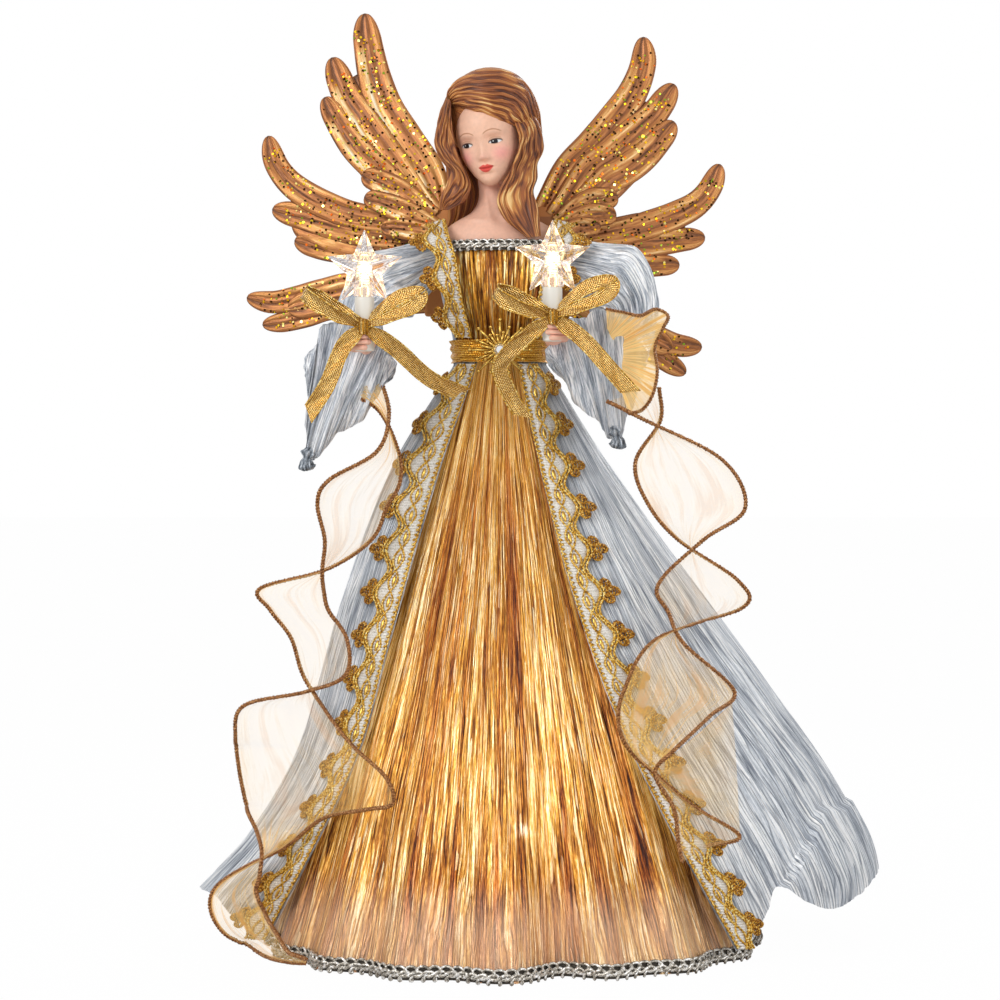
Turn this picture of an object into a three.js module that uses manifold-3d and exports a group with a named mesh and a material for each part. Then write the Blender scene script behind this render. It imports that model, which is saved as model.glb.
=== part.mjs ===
// A lit angel tree topper: a dressed figure on a hollow cone that slips over the tip of a tree.
// Millimetres, +Z up. The figure faces -Y, so +X is the viewer's right, and left and right in the
// names are the viewer's. The origin is the middle of the cone's open foot.
import * as THREE from 'three';
import { mergeVertices } from 'three/addons/utils/BufferGeometryUtils.js';
import Module from 'manifold-3d';

const wasm = await Module();
wasm.setup();

// Clearances and layers
const GAP = 0.35; // between pieces that touch
const CLOTH = 1; // one layer of cloth

// Base cone
const CONE_HEIGHT = 236;
const CONE_RADIUS = 30; // outside, at the foot
const CONE_TOP_RADIUS = 13;
const CONE_WALL = 1.6;
const RIM_WIDTH = 3;
const RIM_HEIGHT = 2;

// Body form and bust: height above the cone, half width, half depth
const TORSO = [
  [0, 17, 14],
  [8, 16.9, 13.8],
  [16, 16.8, 13.6],
  [26, 18.5, 15],
  [36, 21.5, 17.5],
  [46, 23.5, 17.5],
  [55, 24.5, 16],
  [63.6, 25, 14.5],
];
const BUST = [
  [0, 25, 14.5],
  [6, 22, 12.5],
  [11, 15, 10.5],
  [16, 7.5, 7.5],
  [25, 5.6, 6.2],
];
const WAIST_ROW = 2; // the row of TORSO where bodice and skirts meet
const BODY_SIDES = 30;
const NECK_LEAN = -4; // the head sits a little to the left of the body's middle

// Head, from the top of the bust's base
const HEAD_RISE = 44;
const HEAD_HALF = [15, 17, 20];
const HAIR_RISE = 55.5;
const HAIR_HALF = [20.5, 20, 20.5];
const HAIR_BACK = 7.5;
const LOCKS = [
  { radius: 5, route: [[-18, 5, 50], [-21, 0, 32], [-19, -4, 19]] },
  { radius: 5.5, route: [[18, 3, 50], [20, -1, 32], [18.5, -6, 17], [17, -9, 7.5]] },
];

// Skirts
const WAISTBAND = 4; // straight height under the bodice
const HEM_RADIUS = 101;
const HEM_SWAY = 5.5; // the hem reaches further on the right
const HEM_LIFT = 0.8;
const FOLD_COUNT = 16;
const FOLD_DEPTH = 3.2;
const TUCK_ANGLE = 17; // one deep fold in front, degrees to the right
const TUCK_WIDTH = 7;
const TUCK_DEPTH = 14;
const SKIRT_COLUMNS = 64;
const SKIRT_STEPS = [0, 0.13, 0.31, 0.52, 0.74, 0.88]; // rows, as shares of the drop
const BRAID_HEIGHT = 7;
const BRAID_DEPTH = 2.4;
const LINING_TOP = 232;
const LINING_FOOT = 32;
const LINING_FOOT_RADIUS = 74;
const LINING_COLUMNS = 32;

// Coat: how far it stands off the skirt from its right edge (0) round to its left edge (1), how that
// grows down each side, and the angle of its open edges from the front, by share of the drop
const COAT_FOOT = 6;
const COAT_SPREAD = [
  [0, 0], [0.06, 16], [0.12, 34], [0.2, 54], [0.32, 40], [0.5, 12],
  [0.68, 18], [0.82, 34], [0.9, 34], [0.95, 20], [1, 0],
];
const COAT_RISE_RIGHT = [
  [0, 0], [0.15, 0.16], [0.27, 0.33], [0.44, 0.6], [0.58, 0.84], [0.72, 1.07], [0.88, 1.18], [1, 0.86],
];
const COAT_RISE_LEFT = [[0, 0], [0.18, 0.32], [0.41, 0.38], [0.66, 0.3], [0.81, 0.55], [0.92, 1], [1, 1.05]];
const COAT_RIGHT_EDGE = [[0, 26], [0.18, 29], [0.38, 33], [0.57, 39], [0.76, 48], [1, 61]];
const COAT_LEFT_EDGE = [[0, 34], [0.17, 47], [0.47, 50], [0.64, 50], [0.82, 60], [1, 74]];
const COAT_FOLDS = 13;
const COAT_FOLD_DEPTH = 5;
const COAT_COLUMNS = 34; // between the two trims
const COAT_BODICE_FROM = 72; // degrees from the front, either side
const BRAID_NECK_TO = 60;
const NECK_BRAID_HEIGHT = 5;
const NECK_BRAID_DEPTH = 1.8;

// Lace trims
const TRIM_WIDTH = 18;
const TRIM_NOTCH = 13.5; // width between two fans
const TRIM_DEPTH = 1.2;
const TRIM_COLUMNS = 5;
const TRIM_SLANT = 0.85; // the coat slants away from the skirt under the trim
const TRIM_SEAT = 1.1; // from the coat, which is crinkled
const FAN_PITCH = 17.4;
const LAPEL_INNER = [[12.5, -15.6, 22.1], [17, -22.5, 40], [19.5, -21.5, 56], [22.5, -16, 66], [24, -5, 73]];
const LAPEL_OUTER = [[26, -12, 23], [31, -18.5, 40], [36, -18.5, 56], [38, -13.5, 64], [37, -4, 69]];

// Sash and brooch
const SASH_HEIGHT = 9.5;
const SASH_DEPTH = 1;
const SASH_OVERLAP = 5.6; // how far it reaches above the waist seam
const RAY_COUNT = 16;
const RAY_LENGTH = 13;
const RAY_SHORT = 10.5;
const RAY_ROOT = 3.4;
const RAY_WIDTH = 1;
const BROOCH_DEPTH = 1.2;
const STONE_RADIUS = 2.5;
const STONE_DEPTH = 2;

// Wings: feathers as [root, bend, tip, width], each place as x and height from the bracket's middle
const BRACKET = { width: 44, height: 34, depth: 3, rise: 60 };
const WING_DEPTH = 3;
const FEATHER_DEPTH = 2.6;
const FEATHER_STEPS = 6;
const WING_SWEEP = 20; // how far the wings bend back at WING_SPAN from the bracket's middle
const WING_SPAN = 105;
const WING_PLATE = { inner: 3, outer: 33 };
const UPPER_PLATE = [2, 22];
const LOWER_PLATE = [-26, 15];
const SCREW = { radius: 1.6, head: 3.4, headDepth: 1.6, inset: 9, rise: 10 };
const UPPER_FEATHERS = {
  left: [
    [[-29, 14], [-40, 74], [-60, 109.7], 17],
    [[-32, 14], [-55, 58], [-75.5, 90], 15],
    [[-34, 14], [-63, 44], [-78.5, 72], 14],
    [[-30, 12], [-48, 29], [-61, 37], 12],
    [[-30, 10], [-48, 21], [-59.5, 24], 11],
    [[-28, 9], [-44, 15], [-52, 12], 10],
  ],
  right: [
    [[22, 18], [45, 48], [67, 99], 17],
    [[26, 14], [56, 40], [79.5, 76], 15],
    [[30, 12], [61, 29], [78.5, 60], 14],
    [[28, 12], [43, 24], [52, 27.5], 12],
    [[28, 10], [42, 17], [51.5, 18.5], 11],
    [[26, 8], [37, 13], [44, 12.5], 9],
  ],
};
const LOWER_FEATHERS = {
  left: [
    [[-30, 14], [-75, 19], [-103, 56], 15],
    [[-30, 8], [-72, 9], [-101, 23], 13],
    [[-30, 2], [-66, -1], [-91, 9.5], 12],
    [[-28, -14], [-70, -9], [-113, -15.5], 13],
    [[-28, -20], [-66, -23], [-106, -29.5], 12],
  ],
  right: [
    [[28, 10], [70, 10], [98, 43], 15],
    [[28, 4], [66, 0], [91, 11], 13],
    [[28, -2], [60, -11], [79.5, -3], 12],
    [[26, -14], [64, -24], [90, -38.5], 13],
    [[24, -20], [58, -34], [83, -50], 12],
  ],
};

// Lamps inside the skirt
const LAMP_RINGS = [{ count: 5, height: 58, turn: 6 }, { count: 3, height: 104, turn: 42 }];
const SOCKET_RADIUS = 4;
const SOCKET_LENGTH = 14;
const SOCKET_BORE = 2.8;
const SOCKET_DEPTH = 7;
const LAMP_RADIUS = 2.4;
const LAMP_REACH = 12;
const LAMP_SIDES = 8;
const WIRE_RADIUS = 1.1;
const WIRE_STEPS = 48;

// Arms: out is away from the body, drop is below the shoulder
const SHOULDER_ROW = 6;
const CORE_RADIUS = 1.6;
const CORE_ANCHOR = 12; // how far the core's end lies from the body's middle
const PUFF_SIDES = 18;
const SLEEVE_FOLDS = 6;
const SLEEVE_FOLD = 0.07;
const CANDLE_RADIUS = 4;
const CANDLE_HEIGHT = 22;
const CANDLE_BORE = 2.8;
const CANDLE_BORE_DEPTH = 8;
const BULB_RADIUS = 2.4;
const BULB_REACH = 17;
const STAR_RADIUS = 15.6;
const STAR_INNER = 7.2;
const STAR_DEPTH = 11;
const STAR_EDGE = 1.6;
const STAR_RISE = 11.5; // its middle above the candle
const STAR_NECK = 4.6;
const FINGER_RADIUS = 2.8;
const RIBBON_WIDTH = 7;
const RIBBON_DEPTH = 0.8;
const KNOT_RISE = 9.5; // above the candle's foot
const KNOT_HALF = [4.2, 2.2, 3.6];
const ARMS = {
  left: {
    sign: -1,
    puff: [[34, 0, 4, 13], [48, -3, 11, 15.5]],
    elbow: { out: 60, y: -10, drop: 24.5 },
    mouth: { out: 62, drop: 51, half: [18, 25] },
    tail: { out: 15, drop: 8 },
    candle: { out: 55, y: -62, drop: 41 },
    loops: [[-22.5, 12.4], [22.7, 12.4]],
    tails: [
      [[-8, -1.5, -8], [-15, -1, -24], [-23.6, 0, -37]],
      [[12, 4, -8], [26, 16, -20], [41, 27, -26.5]],
    ],
  },
  right: {
    sign: 1,
    puff: [[36, 0, 3, 14], [50, -2, 9, 16]],
    elbow: { out: 57, y: -10, drop: 24.5 },
    mouth: { out: 40, drop: 46, half: [20, 22] },
    tail: { out: 5, drop: 6 },
    candle: { out: 21.3, y: -62, drop: 37 },
    loops: [[-22, 9], [23.7, 13]],
    tails: [
      [[-10, 3, -7], [-21, 12, -19], [-17, 17, -31], [-10, 20, -42]],
      [[12, -1.5, -9], [23, -1, -21], [33, 0, -32]],
    ],
  },
};
const MOUTH_Y = -44;
const BEND_RADIUS = 17;

// Scarves: the two corded edges at matching places, as [x, z, x, z], drawn for a top this high
const SCARF_DRAWN_TOP = 239;
const SCARF_DEPTH = 0.8;
const SCARF_COLUMNS = 5;
const SCARF_PINCH = 6; // it narrows to this where its edges cross
const SCARF_CLEAR = 5; // from the coat and its trim
const SCARF_FREE = [140, 212]; // the heights between which it leaves the coat
const SCARF_LOW = 2.4; // keeps its lowest edge off the ground
const SCARVES = {
  left: [
    [-48.8, 239.2, -63.6, 234.3], [-45.5, 224.9, -50, 226.9], [-50.4, 209.7, -41.8, 209.7],
    [-69.7, 198.2, -41.4, 197], [-74.6, 188.8, -46.7, 187.5], [-71.8, 173.6, -53.3, 173.6],
    [-73, 161.3, -71.8, 161.3], [-72.6, 152.3, -100, 153.1], [-70.5, 144.1, -95.9, 144.1],
    [-62.7, 132.6, -87.3, 132.6], [-63.1, 118.7, -83.2, 119.5], [-79.1, 111.3, -79.5, 112.1],
    [-105.8, 105.1, -73.8, 104.7], [-109.9, 90.8, -61.5, 90.8], [-109, 78.5, -45.9, 78.5],
    [-107, 67.8, -43, 68.6], [-105.4, 62.1, -54.5, 65.4], [-101.3, 55.5, -71.8, 60.4],
    [-97.6, 47.3, -88.2, 47.3], [-98, 37.5, -105.8, 37.5], [-99.6, 30.1, -118.9, 28],
    [-95.9, 21.5, -120.5, 17.8], [-90.2, 15.8, -112.8, 7.5], [-84.5, 10.4, -97.6, 3.5],
  ],
  right: [
    [43.5, 230.2, 65.6, 236.3], [58, 223, 66, 222.6], [91, 206.4, 55.8, 205.6],
    [100.5, 186.7, 60.7, 189.2], [83.2, 173.6, 73.8, 173.6], [64.8, 155.2, 99.2, 156.4],
    [68.9, 144.1, 100.9, 144.9], [74.6, 131.8, 63.6, 132.6], [96.4, 111.3, 50.4, 112.5],
    [85.3, 102.3, 48, 99], [69.7, 89.6, 52.5, 88.7], [61.9, 80.9, 62.7, 79.3],
    [69.3, 67, 77.9, 66.2], [70.9, 54.7, 97.6, 53.1], [72.2, 46.5, 84, 49.8],
  ],
};

// Heights that follow from the sizes above
const BODY_FOOT = CONE_HEIGHT + GAP;
const WAIST = TORSO[WAIST_ROW];
const WAIST_Z = BODY_FOOT + WAIST[0];
const FLARE_Z = WAIST_Z - GAP - WAISTBAND; // below this the skirts flare
const BODY_TOP = BODY_FOOT + TORSO.at(-1)[0];
const LAYER = GAP + CLOTH;
const SASH_LAYER = 2 * LAYER + 2 * GAP; // over the coat's top edge
const SHOULDER = TORSO[SHOULDER_ROW];
const SHOULDER_Z = BODY_FOOT + SHOULDER[0];
const SHOULDER_X = SHOULDER[1] + 2 * LAYER + GAP;
const SHOULDER_Y = 1;
const SASH_Z = WAIST_Z + SASH_OVERLAP - SASH_HEIGHT;
const BRACKET_Z = BODY_FOOT + BRACKET.rise;
const SCREW_X = BRACKET.width / 2 - SCREW.inset;
const BRACKET_Y = Math.max(...TORSO.map((row) => row[2])) + 2 * LAYER + GAP;

const { lerp, smoothstep, degToRad } = THREE.MathUtils;
const point = (x, y, z) => new THREE.Vector3(x, y, z);
const polar = (angle, radius, z) => point(radius * Math.sin(angle), -radius * Math.cos(angle), z);
const spread = (count, make) => Array.from({ length: count }, (unused, i) => make(i));

// The value at a place between [place, value] pairs
function along(pairs, place) {
  const next = pairs.findIndex(([start]) => start >= place);
  if (next < 0) return pairs.at(-1)[1];
  if (next === 0) return pairs[0][1];
  const [from, low] = pairs[next - 1];
  const [to, high] = pairs[next];
  return lerp(low, high, (place - from) / (to - from));
}

function facing(geometry) {
  const place = geometry.getAttribute('position');
  const corner = spread(3, () => point(0, 0, 0));
  let volume = 0;
  for (let i = 0; i < geometry.index.count; i += 3) {
    corner.forEach((c, k) => c.fromBufferAttribute(place, geometry.index.getX(i + k)));
    volume += corner[0].dot(corner[1].clone().cross(corner[2]));
  }
  if (volume < 0) geometry.setIndex([...geometry.index.array].reverse());
  return geometry;
}

// Skins a row of rings, each with as many points, into one closed body. A closed row joins its last
// ring to its first; an open row has its two end rings filled by pairing their points. A ring goes out
// on one face and back on the other, so the second half is cut along the same diagonal as the first.
function loft(rings, closed = false) {
  const count = rings[0].length;
  const faces = [];
  const quad = (a, b, c, d) => faces.push(a, b, c, a, c, d);
  const spans = closed ? rings.length : rings.length - 1;
  for (let i = 0; i < spans; i += 1) {
    const here = i * count;
    const next = ((i + 1) % rings.length) * count;
    for (let j = 0; j < count; j += 1) {
      const k = (j + 1) % count;
      if (j < count / 2) quad(here + j, here + k, next + k, next + j);
      else quad(here + k, next + k, next + j, here + j);
    }
  }
  if (!closed) {
    const end = (rings.length - 1) * count;
    for (let j = 0; j < count / 2 - 1; j += 1) {
      const k = count - 1 - j;
      quad(j + 1, j, k, k - 1);
      quad(end + j, end + j + 1, end + k - 1, end + k);
    }
  }
  const geometry = new THREE.BufferGeometry();
  const places = rings.flat().flatMap((p) => [p.x, p.y, p.z]);
  geometry.setAttribute('position', new THREE.Float32BufferAttribute(places, 3));
  geometry.setIndex(faces);
  return facing(geometry);
}

function toSolid(geometry) {
  const bare = geometry.clone();
  bare.deleteAttribute('normal');
  bare.deleteAttribute('uv');
  const merged = mergeVertices(bare);
  return new wasm.Manifold(new wasm.Mesh({
    numProp: 3,
    vertProperties: Float32Array.from(merged.getAttribute('position').array),
    triVerts: Uint32Array.from(merged.index.array),
  }));
}

function fromSolid(solid) {
  const mesh = solid.getMesh();
  const geometry = new THREE.BufferGeometry();
  geometry.setAttribute('position', new THREE.BufferAttribute(mesh.vertProperties, 3));
  geometry.setIndex(new THREE.BufferAttribute(mesh.triVerts, 1));
  return geometry;
}

const join = (...shapes) => fromSolid(shapes.map(toSolid).reduce((a, b) => a.add(b)));
const cut = (shape, ...tools) => fromSolid(tools.map(toSolid).reduce((a, b) => a.subtract(b), toSolid(shape)));

// A lathe about Z through [radius, height] points
function turned(profile, sides) {
  const outline = profile.map(([radius, height]) => new THREE.Vector2(radius, height));
  return new THREE.LatheGeometry(outline, sides).rotateX(Math.PI / 2);
}

// A round rod through points, with flat ends
function rod(points, radius, sides, steps) {
  const section = new THREE.Shape();
  section.absarc(0, 0, radius, 0, 2 * Math.PI);
  const route = new THREE.CatmullRomCurve3(points, false, 'centripetal');
  const options = { steps, extrudePath: route, bevelEnabled: false, curveSegments: sides / 2 };
  return new THREE.ExtrudeGeometry(section, options);
}

function ball(half, sides = 12, rows = 8) {
  return new THREE.SphereGeometry(1, sides, rows).rotateX(Math.PI / 2).scale(...half);
}

function box(from, to) {
  const size = to.clone().sub(from);
  const middle = to.clone().add(from).multiplyScalar(0.5);
  return new THREE.BoxGeometry(size.x, size.y, size.z).translate(middle.x, middle.y, middle.z);
}

const ellipse = (halfWidth, halfDepth, angle) => (
  1 / Math.hypot(Math.sin(angle) / halfWidth, Math.cos(angle) / halfDepth)
);

const topper = new THREE.Group();

function add(name, geometry, finish, parent = topper) {
  const { color, roughness = 0.6, metalness = 0 } = finish;
  const mesh = new THREE.Mesh(geometry, new THREE.MeshStandardMaterial({ color, roughness, metalness }));
  mesh.name = name;
  parent.add(mesh);
  return mesh;
}

const PAPER = { color: '#e9e2d4', roughness: 0.8 };
const SKIN = { color: '#f0c6ad', roughness: 0.5 };
const GOLD_CLOTH = { color: '#d09a35', roughness: 0.4, metalness: 0.5 };
const LINING_CLOTH = { color: '#e0a04a', roughness: 0.8 };
const SILVER_CLOTH = { color: '#c3c9cf', roughness: 0.5, metalness: 0.3 };
const SILVER_BRAID = { color: '#a9a596', roughness: 0.4, metalness: 0.6 };
const LACE = { color: '#d9b347', roughness: 0.5, metalness: 0.3 };
const RIBBON = { color: '#c99b22', roughness: 0.4, metalness: 0.5 };
const GOLD_METAL = { color: '#c79a3f', roughness: 0.35, metalness: 0.9 };
const STONE = { color: '#e8eaee', roughness: 0.1 };
const WING_PAINT = { color: '#b9783a', roughness: 0.4, metalness: 0.6 };
const CLEAR = { color: '#f4f2ec', roughness: 0.05 };
const WHITE_PLASTIC = { color: '#f3f1ea', roughness: 0.5 };
const WIRE = { color: '#e6e0cf', roughness: 0.6 };
const STEEL = { color: '#9a9a9a', roughness: 0.4, metalness: 0.9 };
const ORGANZA = { color: '#dca648', roughness: 0.6 };

// Base cone, closed at the top and open at the foot
const coneRadius = (z) => lerp(CONE_RADIUS, CONE_TOP_RADIUS, z / CONE_HEIGHT);

function makeCone() {
  const profile = [
    [0, CONE_HEIGHT],
    [CONE_TOP_RADIUS, CONE_HEIGHT],
    [coneRadius(RIM_HEIGHT), RIM_HEIGHT],
    [CONE_RADIUS + RIM_WIDTH, RIM_HEIGHT],
    [CONE_RADIUS + RIM_WIDTH, 0],
    [CONE_RADIUS - CONE_WALL, 0],
    [CONE_TOP_RADIUS - CONE_WALL, CONE_HEIGHT - CONE_WALL],
    [0, CONE_HEIGHT - CONE_WALL],
  ];
  add('base_cone', turned(profile.reverse(), 24), PAPER);
}

// Body form, bodice, coat bodice, neckline braid and sash share the rows of TORSO
const bodyRing = ([rise, halfWidth, halfDepth], layer, angles, foot = BODY_FOOT) => angles.map((angle) => (
  polar(angle, ellipse(halfWidth + layer, halfDepth + layer, angle), foot + rise)
));
const fullTurn = (sides) => spread(sides, (i) => (2 * Math.PI * i) / sides);

// A wall between two layers over the body, for the angles given; a full turn closes on itself
function bodyWall(rows, inner, outer, angles, closed) {
  const columns = angles.map((angle) => [
    ...rows.map((row) => bodyRing(row, outer, [angle])[0]),
    ...rows.toReversed().map((row) => bodyRing(row, inner, [angle])[0]),
  ]);
  return loft(columns, closed);
}

function torsoAt(rise) {
  const width = TORSO.map(([height, half]) => [height, half]);
  const depth = TORSO.map(([height, , half]) => [height, half]);
  return [rise, along(width, rise), along(depth, rise)];
}

const shoulderBore = () => rod(
  [point(-2 * SHOULDER_X, SHOULDER_Y, SHOULDER_Z), point(2 * SHOULDER_X, SHOULDER_Y, SHOULDER_Z)],
  CORE_RADIUS + GAP, 8, 1,
);

function makeBody() {
  const turn = fullTurn(BODY_SIDES);
  const upper = TORSO.slice(WAIST_ROW);
  add('torso_core', cut(loft(TORSO.map((row) => bodyRing(row, 0, turn))), shoulderBore()), PAPER);
  add('bodice', cut(bodyWall(upper, GAP, LAYER, turn, true), shoulderBore()), GOLD_CLOTH);
  const step = 360 / BODY_SIDES;
  const backCount = Math.round((360 - 2 * COAT_BODICE_FROM) / step) + 1;
  const back = spread(backCount, (i) => degToRad(COAT_BODICE_FROM + i * step));
  const coat = bodyWall(upper, LAYER + GAP, 2 * LAYER, back, false);
  add('coat_bodice', cut(coat, shoulderBore()), SILVER_CLOTH);
  const frontCount = Math.round((2 * BRAID_NECK_TO) / step) + 1;
  const front = spread(frontCount, (i) => degToRad(i * step - BRAID_NECK_TO));
  const top = TORSO.at(-1)[0];
  const braidRows = [torsoAt(top - NECK_BRAID_HEIGHT), torsoAt(top)];
  const braid = bodyWall(braidRows, LAYER + GAP, LAYER + GAP + NECK_BRAID_DEPTH, front, false);
  add('neckline_braid', braid, SILVER_BRAID);
  const sashFoot = SASH_Z - BODY_FOOT;
  const sashRows = [torsoAt(sashFoot), WAIST, torsoAt(sashFoot + SASH_HEIGHT)];
  const sash = bodyWall(sashRows, SASH_LAYER, SASH_LAYER + SASH_DEPTH, turn, true);
  add('waist_sash', sash, RIBBON);
}

// Brooch: a burst of rays cut from one plate, with a cut stone in the middle
function makeBrooch() {
  const sashTop = torsoAt(SASH_Z + SASH_HEIGHT - BODY_FOOT);
  const front = sashTop[2] + SASH_LAYER + SASH_DEPTH + GAP;
  const middle = SASH_Z + SASH_HEIGHT / 2;
  const outline = new THREE.Shape();
  const half = Math.PI / RAY_COUNT;
  for (let i = 0; i < RAY_COUNT; i += 1) {
    const angle = 2 * half * i;
    const length = i % 2 ? RAY_SHORT : RAY_LENGTH;
    const lean = Math.atan(RAY_WIDTH / 2 / length);
    outline[i ? 'lineTo' : 'moveTo'](RAY_ROOT * Math.sin(angle - half), RAY_ROOT * Math.cos(angle - half));
    outline.lineTo(length * Math.sin(angle - lean), length * Math.cos(angle - lean));
    outline.lineTo(length * Math.sin(angle + lean), length * Math.cos(angle + lean));
  }
  outline.closePath();
  const rays = new THREE.ExtrudeGeometry(outline, { depth: BROOCH_DEPTH, bevelEnabled: false });
  add('brooch_rays', rays.rotateX(Math.PI / 2).translate(0, -front, middle), GOLD_METAL);
  const profile = [[0, 0], [STONE_RADIUS, 0], [STONE_RADIUS * 0.6, STONE_DEPTH], [0, STONE_DEPTH]];
  const stone = turned(profile, 8).rotateX(Math.PI / 2);
  add('brooch_stone', stone.translate(0, -front - BROOCH_DEPTH - GAP, middle), STONE);
}

// Head, neck, shoulders and hair, one casting
function makeBust() {
  const foot = BODY_TOP + GAP;
  const rows = BUST.map((row, i) => bodyRing(row, 0, fullTurn(BODY_SIDES / 2), foot)
    .map((p) => p.add(point(NECK_LEAN * (i / (BUST.length - 1)), 0, 0))));
  const head = ball(HEAD_HALF).rotateX(degToRad(8)).translate(NECK_LEAN, -5, foot + HEAD_RISE);
  const hair = ball(HAIR_HALF).translate(NECK_LEAN, HAIR_BACK - 5, foot + HAIR_RISE);
  const locks = LOCKS.map(({ radius, route }) => {
    const path = route.map(([x, y, rise]) => point(NECK_LEAN + x, y - 5, foot + rise));
    return rod(path, radius, 8, 2 * route.length);
  });
  add('head_bust', join(loft(rows), head, hair, ...locks), SKIN);
}

// Gold skirt with its folds, hem braid and lining
const flare = (z) => Math.max(0, (FLARE_Z - z) / FLARE_Z);
const hemRadius = (angle) => HEM_RADIUS + HEM_SWAY * Math.sin(angle);
const foldDepth = (t) => FOLD_DEPTH * t ** 1.3;

function smoothSkirt(angle, z) {
  return lerp(ellipse(WAIST[1] + GAP, WAIST[2] + GAP, angle), hemRadius(angle), flare(z));
}

function skirtRadius(angle, z) {
  const t = flare(z);
  const turn = (angle - degToRad(TUCK_ANGLE)) / degToRad(TUCK_WIDTH);
  const tuck = TUCK_DEPTH * t ** 3 * Math.exp(-(turn ** 2));
  return smoothSkirt(angle, z) + foldDepth(t) * Math.cos(FOLD_COUNT * angle) - tuck;
}

const dropRows = (top, foot) => [top, ...SKIRT_STEPS.map((share) => FLARE_Z * (1 - share)), foot];

function makeSkirt() {
  const rows = dropRows(WAIST_Z - GAP, HEM_LIFT);
  const turn = spread(SKIRT_COLUMNS, (i) => (2 * Math.PI * i) / SKIRT_COLUMNS - Math.PI);
  const wall = (list, inner, outer) => loft(turn.map((angle) => [
    ...list.map((z) => polar(angle, skirtRadius(angle, z) + outer, z)),
    ...list.toReversed().map((z) => polar(angle, skirtRadius(angle, z) + inner, z)),
  ]), true);
  add('underskirt', wall(rows, 0, CLOTH), GOLD_CLOTH);
  add('hem_braid', wall([BRAID_HEIGHT, 0], CLOTH + GAP, CLOTH + GAP + BRAID_DEPTH), SILVER_BRAID);
  const top = coneRadius(LINING_TOP) + GAP;
  const profile = [
    [top, LINING_TOP],
    [LINING_FOOT_RADIUS, LINING_FOOT],
    [LINING_FOOT_RADIUS + CLOTH, LINING_FOOT],
    [top + CLOTH, LINING_TOP],
    [top, LINING_TOP],
  ];
  add('lining', turned(profile, LINING_COLUMNS), LINING_CLOTH);
}

// Coat skirt, open in front, and the lace along its two edges
const coatShare = (z) => Math.min(1, flare(z));

// The coat's inner face; across runs from 0 at its right edge to 1 at its left
function coatRadius(angle, z, across) {
  const t = flare(z);
  const clear = lerp(2 * GAP, BRAID_DEPTH + 3 * GAP, Math.sqrt(t));
  const over = smoothSkirt(angle, z) + foldDepth(t) + CLOTH + clear;
  const rise = lerp(along(COAT_RISE_RIGHT, t), along(COAT_RISE_LEFT, t), smoothstep(across, 0.35, 0.65));
  const fold = COAT_FOLD_DEPTH * t * t * (1 + Math.cos(COAT_FOLDS * angle));
  const middle = smoothstep(across, 0.12, 0.3) * smoothstep(1 - across, 0.12, 0.3);
  return over + along(COAT_SPREAD, across) * rise + fold * middle;
}

// The angles of the coat's columns at a height: the trim's columns at each edge, the rest evenly spread
function coatAngles(z) {
  const share = coatShare(z);
  const right = degToRad(along(COAT_RIGHT_EDGE, share));
  const left = 2 * Math.PI - degToRad(along(COAT_LEFT_EDGE, share));
  const step = (TRIM_WIDTH * lerp(1, TRIM_SLANT, share)) / (TRIM_COLUMNS - 1);
  const stepRight = step / coatRadius(right, z, 0);
  const stepLeft = step / coatRadius(left, z, 1);
  const from = right + stepRight * (TRIM_COLUMNS - 1);
  const to = left - stepLeft * (TRIM_COLUMNS - 1);
  return [
    ...spread(TRIM_COLUMNS, (i) => right + stepRight * i),
    ...spread(COAT_COLUMNS, (i) => lerp(from, to, (i + 1) / (COAT_COLUMNS + 1))),
    ...spread(TRIM_COLUMNS, (i) => left - stepLeft * (TRIM_COLUMNS - 1 - i)),
  ];
}

const COAT_ROWS = dropRows(WAIST_Z - LAYER, COAT_FOOT);
const COAT_WIDTH = COAT_COLUMNS + 2 * TRIM_COLUMNS;

function coatPoint(column, z, layer) {
  const angles = coatAngles(z);
  const across = (angles[column] - angles[0]) / (angles.at(-1) - angles[0]);
  return polar(angles[column], coatRadius(angles[column], z, across) + layer, z);
}

// A point on the coat's flat facets, between the rows above and below
function coatFacet(column, z, layer) {
  const below = COAT_ROWS.findIndex((row) => row <= z);
  const low = Math.max(1, below < 0 ? COAT_ROWS.length - 1 : below);
  const upper = coatPoint(column, COAT_ROWS[low - 1], layer);
  const lower = coatPoint(column, COAT_ROWS[low], layer);
  return upper.lerp(lower, (COAT_ROWS[low - 1] - z) / (COAT_ROWS[low - 1] - COAT_ROWS[low]));
}

function makeCoat() {
  const columns = spread(COAT_WIDTH, (i) => [
    ...COAT_ROWS.map((z) => coatPoint(i, z, CLOTH)),
    ...COAT_ROWS.toReversed().map((z) => coatPoint(i, z, 0)),
  ]);
  add('coat_skirt', loft(columns), SILVER_CLOTH);
  const top = SASH_Z - GAP;
  const foot = COAT_FOOT + GAP;
  const stations = 2 * Math.round((top - foot) / FAN_PITCH) + 1;
  for (const side of ['left', 'right']) {
    const columnAt = (i) => (side === 'right' ? i : COAT_WIDTH - 1 - i);
    const rings = spread(stations, (k) => {
      const z = lerp(top, foot, k / (stations - 1));
      const width = k % 2 ? TRIM_WIDTH : TRIM_NOTCH;
      const last = TRIM_COLUMNS - 1;
      const share = (width / TRIM_WIDTH) * last - (last - 1);
      const row = (layer) => spread(TRIM_COLUMNS, (i) => {
        if (i < last) return coatFacet(columnAt(i), z, layer);
        return coatFacet(columnAt(last - 1), z, layer).lerp(coatFacet(columnAt(last), z, layer), share);
      });
      return [...row(CLOTH + TRIM_SEAT), ...row(CLOTH + TRIM_SEAT + TRIM_DEPTH).reverse()];
    });
    add(`skirt_trim_${side}`, loft(rings), LACE);
    makeLapel(side, side === 'left' ? -1 : 1);
  }
}

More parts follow.
